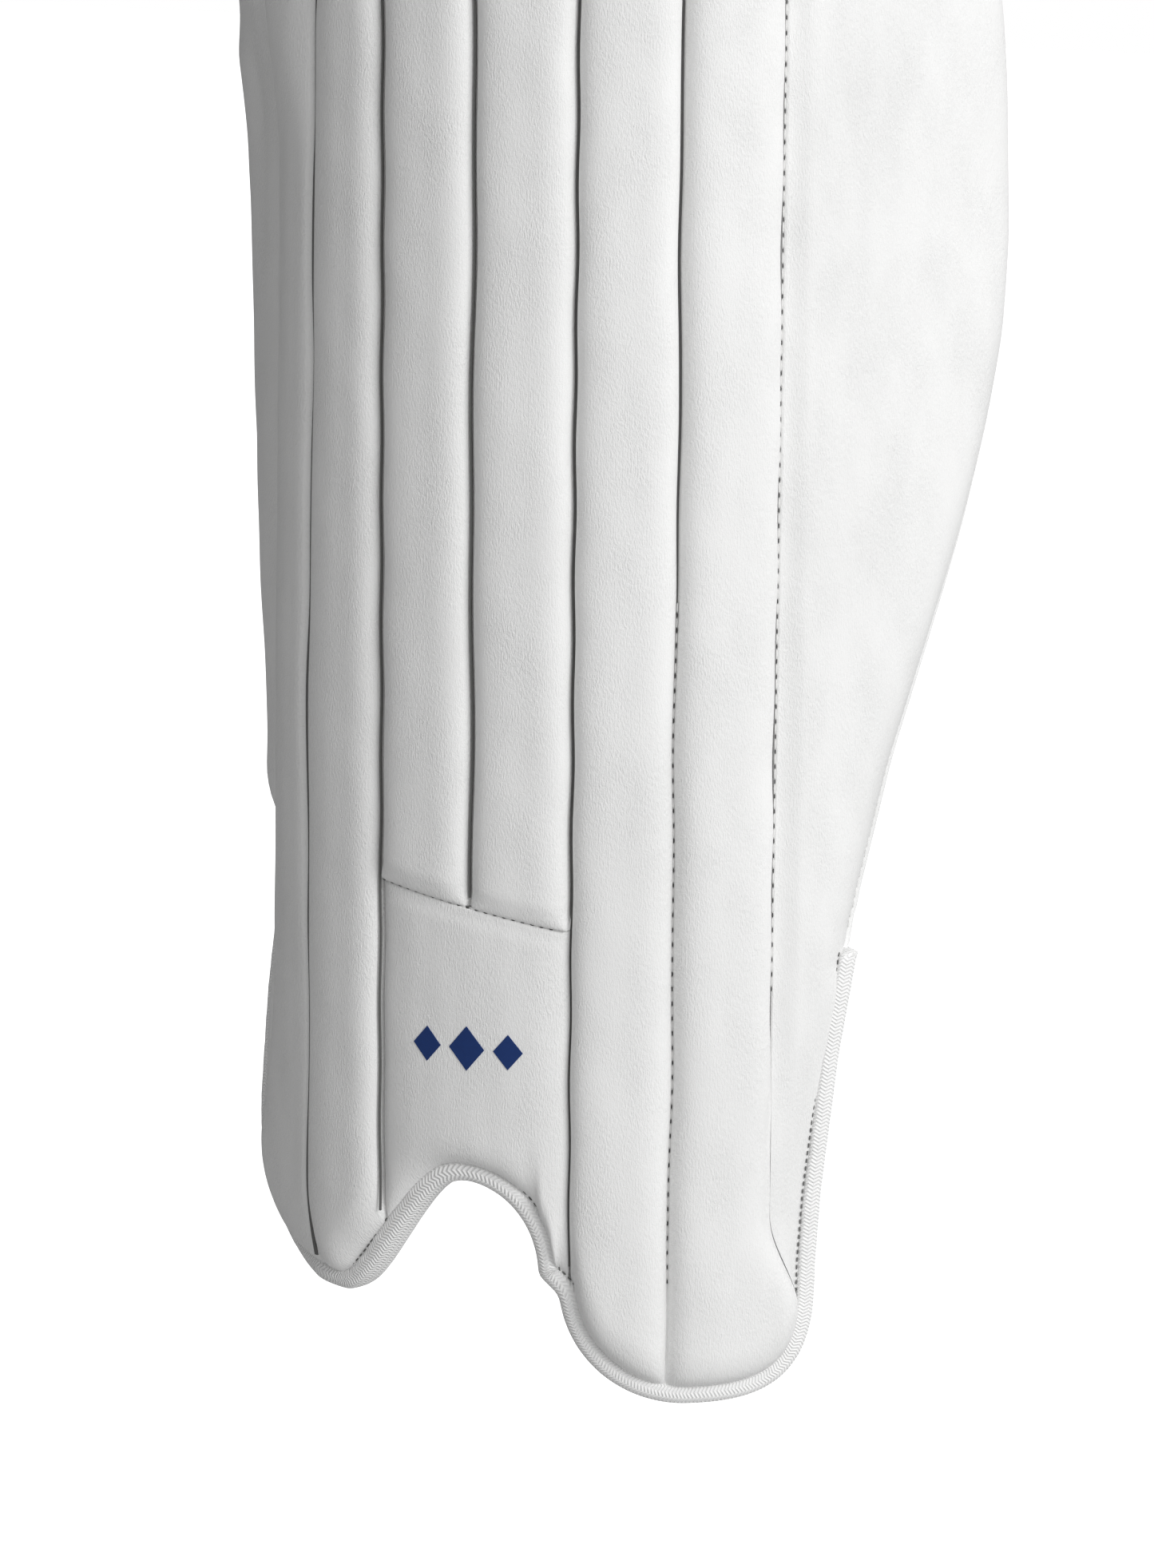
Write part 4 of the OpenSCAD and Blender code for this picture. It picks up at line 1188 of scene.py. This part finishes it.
def strap(word, middle_z):
    """One strap with its hook patch, its anchor on the lining and its loop tape on the inner wing."""
    body, half = f"{word}_strap", STRAP_W / 2

    def path(z):
        return strap_path(middle_z, z)

    total = len(path(middle_z)[0])
    band(f"{word}_webbing", middle_z, path, half, 0, STRAP_T, 0, total, WEBBING, body, body)
    band(f"{word}_hooks", middle_z, path, half - 2, -1.5, -0.25, 0, 12, HOOKS, body,
         f"{word}_hook_patch")
    stitch_row(f"{word}_hook_stitch_b", path, middle_z - (half - 4), 1, 12, body)
    stitch_row(f"{word}_hook_stitch_a", path, middle_z + half - 4, 1, 12, body)
    box_stitch(f"{word}_strap_box", path, middle_z, total - 7, total - 1, body)
    band(f"{word}_anchor", middle_z, anchor_path, half, 0, STRAP_T, 0, 24, WEBBING, "shin",
         f"{word}_strap_anchor")
    box_stitch(f"{word}_anchor_box", anchor_path, middle_z, 0, 8, "shin")
    loop_tape(f"{word}_loops", middle_z, half + 3, f"{word}_loop_patch")


for word, middle in STRAPS.items():
    strap(word, middle)


def calf_pad():
    """A stuffed pad inside the calf strap, where it passes behind the leg."""
    middle = STRAPS["calf"]
    half, first, last = 26.0, 27, 56
    v = np.linspace(-1, 1, 19)

    def path(z):
        return strap_path(middle, z)

    def centre(z):
        places, headings = path(z)
        return places[30] - BACK_R * turned((0, 1), headings[30])

    def depth(points):
        share = ((points[:, 2] - middle + half) / (2 * half))[:, None]
        c = mix(centre(middle - half), centre(middle + half), share)
        return BACK_R - np.hypot(points[:, 0] - c[:, 0], points[:, 1] - c[:, 1]) - 0.4

    _, z, lay = strip(path, middle + half * v, first, last)
    dome = arch(np.linspace(-1, 1, last - first), 8)[:, None] * arch(v, 4)
    stuffed(solid("calf_pad", lay(-0.35 + 0 * dome), lay(-1.2 - 4.6 * dome), z, z), depth, 1.6, "calf_strap",
            "calf_strap_pad")


calf_pad()


# ---- stitching and print
def thread_and_holes(name, hole_shade_name, line, out, pitch, thread, hole):
    """Stitches along a line, with a dark dot of painted shade for the needle hole between each two; sizes are
    (length, width, height).
    """
    centres, along = along_line(line, pitch)
    normals = np.repeat(out[None], len(centres), 0)
    stitches(name, (centres, along, normals), *thread)
    unit = along / np.linalg.norm(along, axis=1)[:, None]
    stitches(hole_shade_name, (centres - unit * pitch / 2, along, normals), *hole, HOLE_SHADE)


def seam_stitches(name, s_of, z0, z1, d):
    """Stitches up a seam of the face."""
    z = np.linspace(z0, z1, int(z1 - z0))
    line, over = at(s_of(z), z, d), at(s_of(z), z, d + 5)
    middle = len(line) // 2
    thread_and_holes(name, name + "_holes", line, over[middle] - line[middle], STITCH_PITCH, (3.1, 0.62, 0.5),
                     (1.3, 0.42, 0.6))


def painted_seam_shades():
    """Dark strips of painted shade in the bottom of each tight seam, where the two covers are sewn down
    together.
    """
    seams = (("inner", -ROLL, None, 12.7, 0.26), ("centre", 0.0, instep_seam(0.0) + 3, 12.0, 0.26),
             ("outer", ROLL, None, 8.8, 0.34), ("fold", -2 * ROLL, None, 12.7, 0.4),
             ("outermost", 2 * ROLL, 235.0, 8.8, 0.34))
    for word, q, low, d, half in seams:
        low = low or clear_of_edge(spread(q, 0.0), BINDING_W) + 4
        z = np.linspace(low, SHIN_TOP - 3, 160)[None, :]
        s = spread(q, z) + seam_wander(q, z) + half * np.linspace(-1, 1, 3)[:, None]
        z = np.broadcast_to(z, s.shape)
        dress(fix_normals(between(f"{word}_painted_seam_shade", (s, z), d, d - 0.6)), SHADE, "shin")


painted_seam_shades()
seam_stitches("outer_roll_stitches", lambda z: spread(2 * ROLL, z) + seam_wander(2 * ROLL, z), 40, 250,
              GROOVE_D + 0.3)
seam_stitches("wing_seam_stitches", lambda z: spread(HALF_FACE, z) + 0.3, 130, WING_TOP - 4, GROOVE_D + 0.5)


def instep_stitches():
    """The stitches of the slanting seam between the centre rolls and the instep panel."""
    q = np.linspace(-ROLL + 1.5, ROLL - 1.5, 60)
    out = at(0.0, 150.0, 40) - at(0.0, 150.0, 0)
    thread_and_holes("instep_stitches", "instep_hole_shade", at(q, instep_seam(q) + 0.1, 12.6), out, 3.0,
                     (1.7, 0.6, 0.5), (1.1, 0.9, 0.6))


instep_stitches()


def wing_edge_stitches(word, side, foot, outline):
    """The topstitch along a wing's hem: up its free edge and back along its top."""
    z = np.linspace(foot + 6, WING_TOP - 2.4, 400)
    edge = outline(z) - 2.2
    back = np.linspace(edge[-1], HALF_FACE + 6.5, 40)[1:]
    s = side * np.concatenate([edge, back])
    z = np.concatenate([z, np.full_like(back, z[-1])])
    line, over = (at(s, z, WING_EDGE_D + lift) for lift in (0.75, 9))
    return stitches(f"{word}_wing_edge_stitches", over_line(line, over, 3.2), 2.2, 0.5, 0.4, body=None)


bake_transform(wing_edge_stitches("outer", 1, OUTER_BINDING_Z, outer_outline))
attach(wing_edge_stitches("inner", -1, INNER_BINDING_Z, inner_outline), "shin")


def emblem():
    """A plain printed mark: three diamonds in a row across the instep."""
    u, v = np.meshgrid(np.linspace(-1, 1, 15), np.linspace(-1, 1, 15), indexing="ij")
    for number, (middle, half_w, half_h) in enumerate(((-12, 4.2, 5.5), (0, 5.2, 7.0), (12, 4.2, 5.5))):
        s = middle + half_w * (u + v) / 2
        z = 112 + half_h * (v - u) / 2
        d = instep_d(s, z)
        obj = fix_normals(between(f"emblem_{number + 1}", (s, z), d + 0.22, d - 0.3, sharp=40))
        dress(obj, NAVY, "shin")


emblem()
rods = bpy.data.objects["cane_rods"].data
rods.materials.clear()
rods.materials.append(CANE)


# ---- camera, floor and light
def look_from(azimuth, elevation, distance):
    a, e = math.radians(azimuth), math.radians(elevation)
    return distance * Vector((math.sin(a) * math.cos(e), -math.cos(a) * math.cos(e), math.sin(e)))


def aim(name, data, target, azimuth, elevation, distance):
    """A camera or light that looks at a target from a distance."""
    obj = bpy.data.objects.new(name, data)
    bpy.context.scene.collection.objects.link(obj)
    obj.location = target + look_from(azimuth, elevation, distance)
    obj.rotation_euler = look_from(azimuth, elevation, 1.0).to_track_quat("Z", "Y").to_euler()
    return obj


camera_data = bpy.data.cameras.new("camera")
camera_data.lens = 131.72
camera_data.sensor_width = 36.0
camera_data.shift_x = -0.0326
camera_data.shift_y = -0.1105
bpy.context.scene.camera = aim("camera", camera_data, Vector((0, 0, 0.2226)), 22.33, 12.0, 1.838)

key_data = bpy.data.lights.new("key", "AREA")
key_data.shape = "DISK"
key_data.size = 1.3
key_data.energy = 31
aim("key", key_data, Vector((0, 0, 0.3)), 60, 22, 2.6)

FLOOR_Z = -0.3
floor_mesh = bpy.data.meshes.new("floor")
corners = [(x, y, FLOOR_Z) for x, y in ((-6, -6), (6, -6), (6, 6), (-6, 6))]
floor_mesh.from_pydata(corners, [], [(0, 1, 2, 3)])
floor = bpy.data.objects.new("floor", floor_mesh)
bpy.context.scene.collection.objects.link(floor)


def white_to_camera(tree, shader, socket):
    """Strength 1 where the camera looks, and the returned node's To Min for what lights the pad."""
    path = tree.nodes.new("ShaderNodeLightPath")
    strength = tree.nodes.new("ShaderNodeMapRange")
    tree.links.new(path.outputs["Is Camera Ray"], strength.inputs["Value"])
    tree.links.new(strength.outputs["Result"], shader.inputs[socket])
    return strength


pale = bpy.data.materials.new("pale_floor")
pale.use_nodes = True
surface = pale.node_tree.nodes["Principled BSDF"]
surface.inputs["Base Color"].default_value = (0.5, 0.5, 0.5, 1)
surface.inputs["Roughness"].default_value = 1.0
surface.inputs["Specular IOR Level"].default_value = 0.0
surface.inputs["Emission Color"].default_value = (1, 1, 1, 1)
white_to_camera(pale.node_tree, surface, "Emission Strength")
floor.data.materials.append(pale)

world = bpy.data.worlds.new("studio")
bpy.context.scene.world = world
world.use_nodes = True
background = world.node_tree.nodes["Background"]
background.inputs["Color"].default_value = (1, 1, 1, 1)
strength = white_to_camera(world.node_tree, background, "Strength")

# the studio is dark on the inner wing's side and bright on the outer wing's
nodes, links = world.node_tree.nodes, world.node_tree.links
coords = nodes.new("ShaderNodeTexCoord")
parts = nodes.new("ShaderNodeSeparateXYZ")
across = nodes.new("ShaderNodeMapRange")
across.interpolation_type = "SMOOTHSTEP"
for socket, value in (("From Min", -1.15), ("From Max", 0.75), ("To Min", 0.02), ("To Max", 0.93)):
    across.inputs[socket].default_value = value
links.new(coords.outputs["Generated"], parts.inputs[0])
links.new(parts.outputs[0], across.inputs["Value"])
links.new(across.outputs["Result"], strength.inputs["To Min"])
bpy.context.scene.view_settings.view_transform = "Standard"
